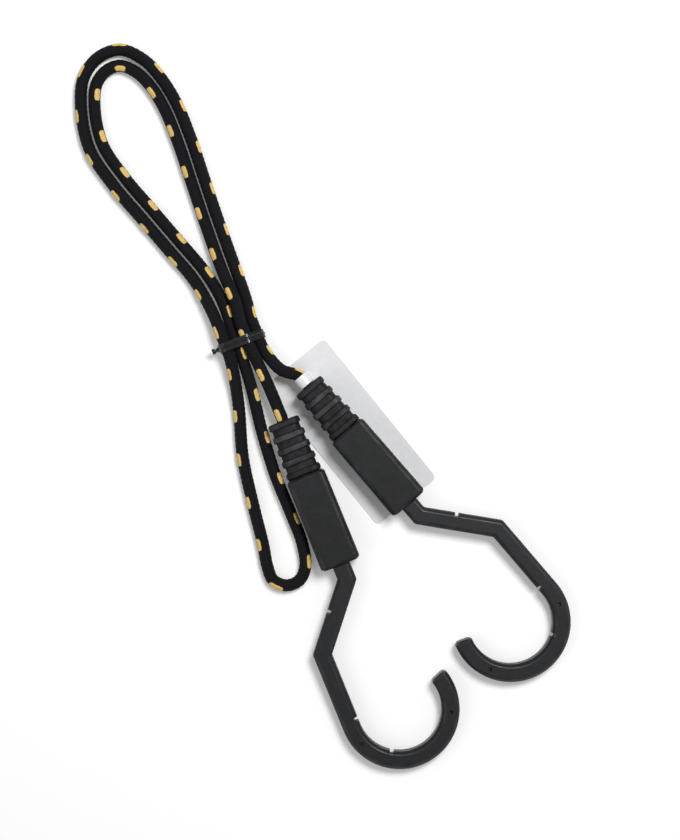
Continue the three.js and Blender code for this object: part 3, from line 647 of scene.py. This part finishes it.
def eased(corners, radius, steps=3, loop=False):
    corners = [Vector(c) for c in corners]
    line = []
    for i, corner in enumerate(corners):
        if not loop and i in (0, len(corners) - 1):
            line.append(corner)
            continue
        back, on = corners[i - 1] - corner, corners[(i + 1) % len(corners)] - corner
        reach = min(radius, back.length / EASE_PARTS, on.length / EASE_PARTS)
        start, end = corner + back.normalized() * reach, corner + on.normalized() * reach
        line.append(start + back.normalized() * reach / 2)
        for step in range(steps + 1):
            s = step / steps
            line.append(start.lerp(corner, s).lerp(corner.lerp(end, s), s))
        line.append(end + on.normalized() * reach / 2)
    return line


def block_ring(x, width, thickness, corner, ridge=0.0):
    arcs = []
    for quarter in range(4):
        turn = quarter * math.pi / 2
        y = math.copysign(width / 2 - corner, math.cos(turn + math.pi / 4))
        z = math.copysign(thickness / 2 - corner, math.sin(turn + math.pi / 4))
        angles = [turn + step / ARC_STEPS * math.pi / 2 for step in range(ARC_STEPS + 1)]
        arcs.append([Vector((x, y + corner * math.cos(a), z + corner * math.sin(a))) for a in angles])
    ring = []
    for quarter in range(4):
        flat = [arcs[quarter][-1].lerp(arcs[(quarter + 1) % 4][0], share) for share in FLAT_SHARES]
        if quarter % 2:
            flat[FLAT_MIDDLE].y += math.copysign(ridge, flat[FLAT_MIDDLE].y)
        ring += arcs[quarter] + flat
    return ring


def bore_rings(stops, like):
    angles = [math.atan2(p.z, p.y) for p in like]
    return [[Vector((x, radius * math.cos(a), radius * math.sin(a))) for a in angles] for x, radius in stops]


print("a ring has", len(block_ring(0, 2, 2, 0.5)), "points")

# %% [markdown]
# A skin that comes back to its first ring is hollow all through, like the handle and the strain relief. One
# with two ends is capped. The painted highlight is given as a share for each point: that of its ring, or
# more where it is on one of the ring's corner arcs.

# %% Skins and painted edge highlights
SHARP_ANGLE = math.radians(38)


def skin(name, rings, place, material, capped=True, edge=None):
    sides = len(rings[0])
    mesh = bpy.data.meshes.new(name)
    spans = len(rings) - 1 if capped else len(rings)
    faces = []
    for i in range(spans):
        here, there = i * sides, (i + 1) % len(rings) * sides
        for k in range(sides):
            on = (k + 1) % sides
            faces.append((here + k, here + on, there + on, there + k))
    if capped:
        last = (len(rings) - 1) * sides
        faces += [tuple(reversed(range(sides))), tuple(range(last, last + sides))]
    mesh.from_pydata([place @ p for ring in rings for p in ring], [], faces)
    # The edge layer holds each point's share of painted highlight
    lightened = mesh.attributes.new("edge", "FLOAT", "POINT")
    lightened.data.foreach_set("value", edge if edge else [0.0] * len(mesh.vertices))
    mesh.shade_smooth()
    mesh.set_sharp_from_angle(angle=SHARP_ANGLE)
    mesh.materials.append(material)
    piece = bpy.data.objects.new(name, mesh)
    scene.collection.objects.link(piece)
    print(name, len(mesh.polygons), "faces")
    return piece


def edge_shares(rings, ring_highlight, corner_highlight):
    shares = []
    for i, ring in enumerate(rings):
        lightening = ring_highlight[i] if i < len(ring_highlight) else 0.0
        for k in range(len(ring)):
            in_arc = i < len(ring_highlight) and k % (ARC_STEPS + 1 + len(FLAT_SHARES)) <= ARC_STEPS
            shares.append(max(lightening, corner_highlight) if in_arc else lightening)
    return shares


pieces = {}
print("shading breaks at", round(math.degrees(SHARP_ANGLE)), "degrees")

# %% [markdown]
# The handle is a bar with rounded long edges and a bevel at each end, a little wider at the hook. A fine
# ridge along both sides is where the two halves of the mould met. The bore inside holds the strain relief's
# spigot and the ferrule, and a smaller hole at the hook end lets the wire through but not its head.

# %% Handles
HANDLE_WIDTHS = (19.8, 20.4)
HANDLE_CORNER = 2.4
HANDLE_BEVEL = 1.2
HANDLE_EASE = 0.4
CORD_END_FACE = 1.8
HOOK_END_FACE = 3
BEVEL_HIGHLIGHT_DEPTH = 1.3
HANDLE_BORE = 4.8
WIRE_HOLE = 2.8
FRONT_WALL = 9
BARB_FROM, BARB_TO, BARB_HEIGHT = -42, -39, 0.7
PARTING_RIDGE = 0.12


def handle_ring(x, inset):
    width = HANDLE_WIDTHS[0] + (HANDLE_WIDTHS[1] - HANDLE_WIDTHS[0]) * (1 + x / HANDLE_LENGTH)
    ridge = PARTING_RIDGE if inset == 0 else 0
    return block_ring(x, width - 2 * inset, HANDLE_THICKNESS - 2 * inset, HANDLE_CORNER, ridge)


handle_line = eased([
    (-HANDLE_LENGTH, CORD_END_FACE), (-HANDLE_LENGTH, HANDLE_BEVEL), (-HANDLE_LENGTH + HANDLE_BEVEL, 0),
    (-HANDLE_BEVEL, 0), (0, HANDLE_BEVEL), (0, HOOK_END_FACE),
], HANDLE_EASE)
outside = [handle_ring(x, inset) for x, inset in handle_line]
inside = bore_rings([
    (0, WIRE_HOLE), (-FRONT_WALL, WIRE_HOLE), (-FRONT_WALL, HANDLE_BORE), (BARB_TO + FIT_GAP, HANDLE_BORE),
    (BARB_TO + FIT_GAP, HANDLE_BORE + BARB_HEIGHT), (BARB_FROM - FIT_GAP, HANDLE_BORE + BARB_HEIGHT),
    (BARB_FROM - FIT_GAP, HANDLE_BORE), (-HANDLE_LENGTH, HANDLE_BORE),
], outside[0])
rings = outside + inside
# The end bevels and the long rounded edges get the painted highlight
shares = edge_shares(rings, [1.0 if 0 < inset < BEVEL_HIGHLIGHT_DEPTH else 0.0 for x, inset in handle_line], 1.0)
for letter, place in ends.items():
    grip = skin(f"grip_{letter}", rings, place, handle_nylon, capped=False, edge=shares)
    pieces[f"handle_{letter}"] = grip

# %% [markdown]
# The strain relief is a soft boot that lets the cord bend without a kink at the handle: a collar at its
# mouth and three ribs with grooves between them, so it can flex. Its spigot plugs into the handle and a
# barb holds it. It is one skin too: out along the ribs, into the spigot, and back through the hole for the
# cord. The three ribs get the most painted highlight, so they are the palest, the collar less and the base
# least; the highlight fades out into the grooves, which stay near black as painted shade.

# %% Strain reliefs
MOUTH_SIZE = (16, 11.8)
MOUTH_FACE = 2.2
BASE_SIZE = (18, 12.2)
BASE_FACE = 1.3
BASE_LENGTH = 3.3
BASE_END = MOUTH + NECK_LENGTH
COLLAR_LENGTH = 3.4
RIB_COUNT = 3
RIB_LENGTH = 3.4
RIB_BEVEL = 0.6
GROOVE_LENGTH = 3
GROOVE_DEPTH = 1
RELIEF_CORNER = 3.5
RELIEF_EASE = 0.3
SPIGOT_RADIUS = 4.5
SPIGOT_END = -33
CORD_HOLE = 3.3
# Painted highlight on the collar, the ribs and the base, fading to painted shade in the grooves
COLLAR_HIGHLIGHT, RIB_HIGHLIGHT, BASE_HIGHLIGHT = 0.5, 1.0, 0.2
HIGHLIGHT_FADE_IN_GROOVES = 1.6


def relief_ring(x, inset):
    share = (x - MOUTH) / NECK_LENGTH
    width, thickness = (m + (b - m) * share - 2 * inset for m, b in zip(MOUTH_SIZE, BASE_SIZE))
    return block_ring(x, width, thickness, RELIEF_CORNER)


def relief_highlight_and_shade(x, inset):
    if x < MOUTH + COLLAR_LENGTH + GROOVE_LENGTH / 2:
        highlight_share = COLLAR_HIGHLIGHT
    elif x < BASE_END - BASE_LENGTH - GROOVE_LENGTH / 2:
        highlight_share = RIB_HIGHLIGHT
    else:
        highlight_share = BASE_HIGHLIGHT
    return highlight_share * max(0.0, 1 - HIGHLIGHT_FADE_IN_GROOVES * inset)


def rib_line(start, end):
    bevels = [(start, RIB_BEVEL), (start + RIB_BEVEL, 0), (end - RIB_BEVEL, 0), (end, RIB_BEVEL)]
    return [(start, GROOVE_DEPTH), *bevels, (end, GROOVE_DEPTH)]


relief_line = [(MOUTH, MOUTH_FACE)] + rib_line(MOUTH, MOUTH + COLLAR_LENGTH)[1:]
for i in range(RIB_COUNT):
    start = MOUTH + COLLAR_LENGTH + GROOVE_LENGTH + i * (RIB_LENGTH + GROOVE_LENGTH)
    relief_line += rib_line(start, start + RIB_LENGTH)
relief_line += rib_line(BASE_END - BASE_LENGTH, BASE_END)[:-1] + [(BASE_END, BASE_FACE)]
relief_line = eased(relief_line, RELIEF_EASE, 2)
outside = [relief_ring(x, inset) for x, inset in relief_line]
inside = bore_rings([
    (BASE_END, SPIGOT_RADIUS), (BARB_FROM, SPIGOT_RADIUS), (BARB_FROM, SPIGOT_RADIUS + BARB_HEIGHT),
    (BARB_TO, SPIGOT_RADIUS + BARB_HEIGHT), (BARB_TO, SPIGOT_RADIUS), (SPIGOT_END, SPIGOT_RADIUS),
    (SPIGOT_END, CORD_HOLE), (MOUTH, CORD_HOLE),
], outside[0])
rings = outside + inside
shares = edge_shares(rings, [relief_highlight_and_shade(x, inset) for x, inset in relief_line], 0.0)
for letter, place in ends.items():
    relief = skin(f"boot_{letter}", rings, place, relief_rubber, capped=False, edge=shares)
    pieces[f"strain_relief_{letter}"] = relief

# %% [markdown]
# The hook is steel wire with plastic moulded round it. The covering has flat sides and chamfered edges, two
# mitred bends and a round bowl. A plain sweep would round the bends, so the left and right edges of the bar
# are drawn first, each with its own corners. A ring is later stretched between a point on one and a point
# on the other.

# %% The two edges of the hook
STUB = 8
BOWL_RADIUS = 25.5
BOWL_X = 78
BOWL_END = -110
BOWL_STEP = 4
BEND_TWO = (38.4, BOWL_RADIUS)
BEND_EASE = 0.8
TIP_CHAMFER = 1.3
TIP_FACE = 2.6
TIP_EASE = 0.3
TIP_LEAD = 0.5
TIP_START = 0.8
cover_centre = [Vector(c) for c in ((FIT_GAP, 0), (STUB, 0), BEND_TWO, (BOWL_X, BOWL_RADIUS))]


def side_line(side):
    corners = [cover_centre[0] + Vector((0, side))]
    for before, corner, after in zip(cover_centre, cover_centre[1:], cover_centre[2:]):
        one, two = (corner - before).normalized(), (after - corner).normalized()
        across = Vector((-one.y - two.y, one.x + two.x))
        corners.append(corner + across * side / (1 + one.dot(two)))
    corners.append(Vector((BOWL_X, BOWL_RADIUS + side)))
    return eased(corners, BEND_EASE, 4)


def on_bowl(angle, radius=BOWL_RADIUS):
    return Vector((BOWL_X + radius * math.cos(math.radians(angle)), radius * math.sin(math.radians(angle))))


def bowl_stop(angle, inset=0.0):
    return (on_bowl(angle, BOWL_RADIUS + HOOK_HALF), on_bowl(angle, BOWL_RADIUS - HOOK_HALF), inset)


tip_angle = BOWL_END + math.degrees(TIP_CHAMFER / BOWL_RADIUS)
bowl_angles = [90 - BOWL_STEP * i for i in range(1, int((90 - BOWL_END) / BOWL_STEP))]
bowl_angles += [tip_angle + TIP_START]
tip_line = [(TIP_LEAD, 0), (0, 0), (-TIP_CHAMFER, TIP_CHAMFER), (-TIP_CHAMFER, TIP_FACE)]
tip_line = eased(tip_line, TIP_EASE, 2)[1:]
bar_stops = [(left, right, 0.0) for left, right in zip(side_line(HOOK_HALF), side_line(-HOOK_HALF))]
bar_stops += [bowl_stop(angle) for angle in bowl_angles]
bar_stops += [bowl_stop(tip_angle + math.degrees(along / BOWL_RADIUS), inset) for along, inset in tip_line]
print("hook:", len(bar_stops), "stops along the bar")

# %% [markdown]
# Inside the bar is a channel for the wire, which rounds the bends that the covering mitres, and stops short
# of the tip. The channel is the same skin turned back into the bar, so its rings come first, from its blind
# end out to the stub.

# %% Hook coverings
COVER_CHAMFER = 1.6
COVER_EASE = 0.45
WIRE_TRIM = 4
TIP_COVER = 6
WIRE_STOP = BOWL_END + math.degrees(TIP_COVER / BOWL_RADIUS)

a, c = HOOK_HALF, HOOK_HALF - COVER_CHAMFER
corners = [(a, -c), (a, c), (c, a), (-c, a), (-a, c), (-a, -c), (-c, -a), (c, -a)]
octagon = eased(corners, COVER_EASE, loop=True)
corner_size = len(octagon) // len(corners)


def bar_ring(left, right, inset):
    scale = 1 - inset / HOOK_HALF
    middle, half = (left + right) / 2, (left - right) / 2
    ring = []
    for y, z in octagon:
        spot = middle + half * (y / HOOK_HALF * scale)
        ring.append(Vector((spot.x, spot.y, z * scale)))
    return ring


def channel_ring(spot, heading):
    across = Vector((-math.sin(heading), math.cos(heading)))
    ring = []
    for y, z in octagon:
        turn = math.atan2(z, y)
        off = across * (WIRE_HOLE * math.cos(turn))
        ring.append(Vector((spot.x + off.x, spot.y + off.y, WIRE_HOLE * math.sin(turn))))
    return ring


wire_line = [(cover_centre[0], 0.0)]
for before, corner, after in zip(cover_centre, cover_centre[1:], cover_centre[2:]):
    entry = corner + (before - corner).normalized() * WIRE_TRIM
    leave = corner + (after - corner).normalized() * WIRE_TRIM
    for share in (0, 0.25, 0.5, 0.75, 1):
        spot = entry.lerp(corner, share).lerp(corner.lerp(leave, share), share)
        way = (corner - entry).lerp(leave - corner, share)
        wire_line.append((spot, math.atan2(way.y, way.x)))
wire_line += [(on_bowl(d), math.radians(d - 90)) for d in [90] + [d for d in bowl_angles if d > WIRE_STOP]]
wire_line.append((on_bowl(WIRE_STOP - math.degrees(FIT_GAP / BOWL_RADIUS)), math.radians(WIRE_STOP - 90)))

channel = [channel_ring(*stop) for stop in reversed(wire_line)]
bar = [bar_ring(*stop) for stop in bar_stops]
shares = [0.0] * (len(channel) * len(octagon))
for left, right, inset in bar_stops:
    # The eased corners of the bar and its tip get the painted highlight
    shares += [1.0 if inset or 0 < k % corner_size < corner_size - 1 else 0.0 for k in range(len(octagon))]
for letter, place in ends.items():
    pieces[f"hook_cover_{letter}"] = skin(f"hook_{letter}", channel + bar, place, cover_plastic, edge=shares)

# %% [markdown]
# While the plastic is shot, small pins in the mould keep the wire in the middle. They leave marks in which
# the steel shows: a slot across the outside of the leg, two across the inside of the bar, and two round
# holes in each face. A Boolean cuts them all at once, and the cutter is then thrown away.

# %% Marks of the mould's pins
PIN_RADIUS = 1.1
PIN_DEPTH = (2.5, 5.5)
PIN_SIDES = 20
LEG_MARK_SHARE = 0.46
BAR_MARK_BACK = 3.56
BOWL_MARK_ANGLE = 32
FACE_MARK_ANGLES = (70, -65)


def carve(piece, cutter, operation="DIFFERENCE"):
    modifier = piece.modifiers.new("carve", "BOOLEAN")
    modifier.operation = operation
    modifier.solver = "EXACT"
    modifier.object = cutter
    settle(piece)
    bpy.data.objects.remove(cutter)
    piece.data.shade_smooth()
    piece.data.set_sharp_from_angle(angle=SHARP_ANGLE)
    print(piece.name, operation.lower(), len(piece.data.polygons), "faces")


leg = (cover_centre[2] - cover_centre[1]).normalized()
in_bowl = on_bowl(BOWL_MARK_ANGLE)
slots = [
    (cover_centre[1].lerp(cover_centre[2], LEG_MARK_SHARE), Vector((-leg.y, leg.x))),
    (Vector((BOWL_X - BAR_MARK_BACK, BOWL_RADIUS)), Vector((0, -1))),
    (in_bowl, (Vector((BOWL_X, 0)) - in_bowl).normalized()),
]
holes = [(on_bowl(angle), turn) for angle in FACE_MARK_ANGLES for turn in (0, math.pi)]
pin_middle, pin_length = sum(PIN_DEPTH) / 2, PIN_DEPTH[1] - PIN_DEPTH[0]
slot_size = Matrix.Diagonal((pin_length, 2 * PIN_RADIUS, 2 * PIN_DEPTH[1], 1))
to_middle = Matrix.Translation((0, 0, pin_middle))
for letter, place in ends.items():
    work = bmesh.new()
    for spot, way in slots:
        turn = Matrix.Rotation(math.atan2(way.y, way.x), 4, "Z")
        at = Matrix.Translation((spot + way * pin_middle).to_3d()) @ turn
        bmesh.ops.create_cube(work, size=1, matrix=place @ at @ slot_size)
    for spot, turn in holes:
        at = Matrix.Translation(spot.to_3d()) @ Matrix.Rotation(turn, 4, "X") @ to_middle
        bmesh.ops.create_cone(work, cap_ends=True, segments=PIN_SIDES, radius1=PIN_RADIUS,
                              radius2=PIN_RADIUS, depth=pin_length, matrix=place @ at)
    cutter = bpy.data.objects.new("pins", bpy.data.meshes.new("pins"))
    work.to_mesh(cutter.data)
    work.free()
    scene.collection.objects.link(cutter)
    carve(pieces[f"hook_cover_{letter}"], cutter)

# %% [markdown]
# The hook's wire and the ferrule crimped on the cord's end are steel, and their solids have the right
# shape, so they stay. The wire shows almost only in the marks of the pins, so its dark colour is painted
# shade in those small holes; it has fine scratches, and the ferrule is zinc plated.

# %% Finishes: drawn wire and plated steel
# Real scratches are finer than 0.1 mm, drawn at 0.4 mm so that they show
SCRATCH_SIZE = 0.4 * MM
STEELS = {
    # The wire's dark colour is painted shade for the pin marks, where it shows
    "hook_wire": ("drawn steel wire, dark as painted shade", "#45413d", 0.45),
    "cord_ferrule": ("zinc-plated steel", "#b9bbc0", 0.3),
}

for kind, (name, colour, roughness) in STEELS.items():
    steel, tree, shader = new_material(name)
    at = add(tree, "ShaderNodeTexCoord").outputs["Object"]
    scratch = add(tree, NOISE, {"Vector": at, "Scale": 1 / SCRATCH_SIZE, "Detail": 6.0}).outputs["Fac"]
    gloss = add(tree, RANGE, {"Value": scratch, "To Min": roughness - 0.12, "To Max": roughness + 0.18})
    bump = add(tree, BUMP, {"Strength": 0.3, "Distance": 0.02 * MM, "Height": scratch})
    feed(tree, shader, {"Base Color": linear(colour), "Metallic": 1.0, "Roughness": gloss, "Normal": bump})
    for letter in ends:
        solid = nodes[f"{kind}_{letter}"]
        solid.data.materials.clear()
        solid.data.materials.append(steel)
    print(name, "on both ends")

# %% [markdown]
# The tie is a ribbon of black PVC with a soft wire down its middle. PVC ribbon is extruded and glossy, with
# a wavy surface that breaks up its highlights.

# %% Finish: tie ribbon
WAVE_SIZE = 2.2 * MM

tie_pvc, tree, shader = new_material("extruded PVC ribbon, gloss black")
at = add(tree, "ShaderNodeTexCoord").outputs["Object"]
waves = add(tree, NOISE, {"Vector": at, "Scale": 1 / WAVE_SIZE, "Detail": 2.0}).outputs["Fac"]
bump = add(tree, BUMP, {"Strength": 0.5, "Distance": 0.15 * MM, "Height": waves})
gloss = add(tree, RANGE, {"Value": waves, "To Min": 0.16, "To Max": 0.34})
feed(tree, shader, {"Base Color": linear("#131316"), "Normal": bump, "Roughness": gloss})
print(tie_pvc.name)

# %% [markdown]
# The tie goes once round the four strands, so its path is the belt round four circles. The ribbon's section
# is flat with a low ridge over the wire, and it stands on its side: one ring for each step of the belt.

# %% Twist tie
TIE_INSIDE = 3.3
TIE_HALF = 2.25
TIE_SKIN = 0.4
TIE_WIRE = 0.4
RIDGE_HALF = 0.75
RIBBON_STEPS = 19
BELT_STEPS = 12
pitch, low, high = STRAND_PITCH / MM, LOW_STRAND / MM, HIGH_STRAND / MM


def ribbon_height(w):
    if abs(w) >= RIDGE_HALF:
        return TIE_SKIN
    return TIE_SKIN + TIE_WIRE * math.cos(w / RIDGE_HALF * math.pi / 2)


ribbon = [(w, ribbon_height(w)) for w in np.linspace(-TIE_HALF, TIE_HALF, RIBBON_STEPS)]
ribbon = [(-TIE_HALF, 0.0)] + ribbon + [(TIE_HALF, 0.0)]
strands = [Vector((across * pitch, z)) for across, z in ((-0.5, low), (1.5, low), (0.5, high), (-1.5, high))]
rings = []
for i, centre in enumerate(strands):
    back, on = centre - strands[i - 1], strands[(i + 1) % len(strands)] - centre
    start = math.atan2(back.y, back.x) - math.pi / 2
    sweep = (math.atan2(on.y, on.x) - math.pi / 2 - start) % (2 * math.pi)
    for step in range(BELT_STEPS + 1):
        angle = start + sweep * step / BELT_STEPS
        out = Vector((math.cos(angle), math.sin(angle)))
        spots = [(centre + out * (TIE_INSIDE + rise), w) for w, rise in ribbon]
        rings.append([Vector((spot.x, spot.y, w)) for spot, w in spots])
upright = Matrix.Rotation(math.pi / 2, 4, "X") @ Matrix.Scale(MM, 4)
tie_place = Matrix.Translation((*WAIST, 0)) @ Matrix.Rotation(WAIST_HEADING + math.pi / 2, 4, "Z") @ upright
tie = skin("tie", rings, tie_place, tie_pvc, capped=False)
pieces["twist_tie"] = tie

# %% [markdown]
# The tie's two ends are twisted together at one side, and spread a little at their tips. Each is a short
# flat bar that turns as it goes, joined to the belt by a Boolean.

# %% The twisted ends of the tie
TAIL_LENGTH = 4.0
TAIL_HALF_TURNS = 0.8
TAIL_FROM_TURNS = 0.15
TAIL_STEPS = 28
TAIL_SIDES = (-0.4, 0.4)
TAIL_HALF = (0.35, 1.3)
TAIL_EASE = 0.2
TIP_SPREAD = 1.2
TIP_FROM = 0.8

root = Vector((-STRAND_MIDDLE * pitch - TIE_INSIDE, high))
thin, wide = TAIL_HALF
flat = eased([(-thin, -wide), (thin, -wide), (thin, wide), (-thin, wide)], TAIL_EASE, 2, loop=True)
for side in TAIL_SIDES:
    rings = []
    for step in range(TAIL_STEPS + 1):
        share = step / TAIL_STEPS
        turn = Matrix.Rotation((TAIL_FROM_TURNS + share * TAIL_HALF_TURNS) * math.pi, 2)
        spread = side * (1 + TIP_SPREAD * max(0, share - TIP_FROM) / (1 - TIP_FROM))
        section = [turn @ (Vector(p) + Vector((spread, 0))) for p in flat]
        rings.append([Vector((root.x - share * TAIL_LENGTH, root.y + p.x - share, p.y)) for p in section])
    carve(tie, skin("tie_tail", rings[::-1], tie_place, tie_pvc), "UNION")

# %% [markdown]
# A bare white card lies under one handle. It is coated, so it is smooth and a little glossy, with the faint
# mottle of paper. A card is never quite flat: its free long edge lifts by less than a millimetre.

# %% Tag card
TAG_SIZE = (90, 38)
TAG_THICKNESS = 0.4
TAG_CORNER = 2.5
TAG_CURL = 0.7
CURL_FROM = 9
CURL_RUN = 10
TAG_CENTRE = (-0.0344, 0.0702)
TAG_HEADING = math.radians(-51)
MOTTLE_SIZE = 3 * MM
CORNER_STEPS = 6
LENGTH_STEPS = 40
WIDTH_STEPS = 25

coated_card, tree, shader = new_material("coated card, white")
at = add(tree, "ShaderNodeTexCoord").outputs["Object"]
mottle = add(tree, NOISE, {"Vector": at, "Scale": 1 / MOTTLE_SIZE, "Detail": 6.0}).outputs["Fac"]
tone = add(tree, MIX, {"Factor": mottle, 6: linear("#dcdddf"), 7: linear("#ebebec")}, data_type="RGBA")
bump = add(tree, BUMP, {"Strength": 0.15, "Distance": 0.05 * MM, "Height": mottle})
feed(tree, shader, {"Base Color": tone.outputs[2], "Normal": bump, "Roughness": 0.42})

half_length, half_width = TAG_SIZE[0] / 2, TAG_SIZE[1] / 2
shoulder = half_length - TAG_CORNER
turns = [i / CORNER_STEPS * math.pi / 2 for i in range(CORNER_STEPS)]
columns = [-half_length + TAG_CORNER * (1 - math.cos(turn)) for turn in turns]
columns += list(np.linspace(-shoulder, shoulder, LENGTH_STEPS)) + [-c for c in reversed(columns)]
rings = []
for x in columns:
    past = max(0, abs(x) - shoulder)
    reach = half_width - TAG_CORNER + math.sqrt(max(0, TAG_CORNER**2 - past**2))
    top, bottom = [], []
    for y in np.linspace(-1, 1, WIDTH_STEPS) * reach:
        lift = TAG_CURL * max(0, (y - CURL_FROM) / CURL_RUN) ** 2
        top.append(Vector((x, y, TAG_THICKNESS + lift)))
        bottom.append(Vector((x, y, lift)))
    rings.append(bottom + top[::-1])
tag_place = Matrix.Translation((*TAG_CENTRE, 0)) @ Matrix.Rotation(TAG_HEADING, 4, "Z") @ Matrix.Scale(MM, 4)
pieces["tag_card"] = skin("card", rings, tag_place, coated_card)

# %% [markdown]
# A strip of the same card goes over the cord, close to the mouth of end A, and its two feet lie on the tag.
# Its line is drawn as seen along the cord, and every ring is as thick as the card, square to the line.

# %% Tag strap
STRAP_HALF = 2.75
STRAP_SETBACK = 0.5
STRAP_INSIDE = 3.6
STRAP_FOOT = 3.2
STRAP_STEPS = 25

strap_at = ends["a"] @ Vector((MOUTH - STRAP_SETBACK - STRAP_HALF, 0, 0))
height = strap_at.z / MM
foot, mid = TAG_THICKNESS + FIT_GAP + TAG_THICKNESS / 2, STRAP_INSIDE + TAG_THICKNESS / 2
line = [(-mid - STRAP_FOOT, foot), (-mid, foot), (-mid, height)]
bow = np.linspace(0, math.pi, STRAP_STEPS)[1:-1]
line += [(-mid * math.cos(t), height + mid * math.sin(t)) for t in bow]
line += [(mid, height), (mid, foot), (mid + STRAP_FOOT, foot)]
line = [Vector(p) for p in line]
rings = []
for i, spot in enumerate(line):
    back, on = spot - line[max(i - 1, 0)], line[min(i + 1, len(line) - 1)] - spot
    one = (back if i else on).normalized()
    two = (on if i < len(line) - 1 else back).normalized()
    out = Vector((-one.y - two.y, one.x + two.x)) / (1 + one.dot(two)) * TAG_THICKNESS / 2
    under, over = spot - out, spot + out
    corners = ((under, -STRAP_HALF), (under, STRAP_HALF), (over, STRAP_HALF), (over, -STRAP_HALF))
    rings.append([Vector((p.x, p.y, w)) for p, w in corners])
strap_turn = Matrix.Rotation(math.radians(END_PLACES["a"]["heading"]) + math.pi / 2, 4, "Z")
strap_place = Matrix.Translation((strap_at.x, strap_at.y, 0)) @ strap_turn @ upright
pieces["tag_strap"] = skin("strap", rings, strap_place, coated_card)

# %% [markdown]
# Each piece stands for one solid and moves with that solid's body, and the solid itself is hidden.

for node, piece in pieces.items():
    kind, letter = (node[:-2], node[-1]) if node[-2] == "_" else (node, "a")
    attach(piece, "hank" if kind == "twist_tie" else f"end_{letter}")
    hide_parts(node)
print(len(pieces), "pieces stand for solids")

# %% [markdown]
# The length of each free cord is printed along its route. The tie is on the hank, and the tag hangs on lead
# A by its strap. Every stretch goes back into the object at its far end.

routes = {"hank": hank_path, **lead_paths}
for name, route in routes.items():
    print(cords[name].name, f"{run_length(route) / MM:.1f} mm")
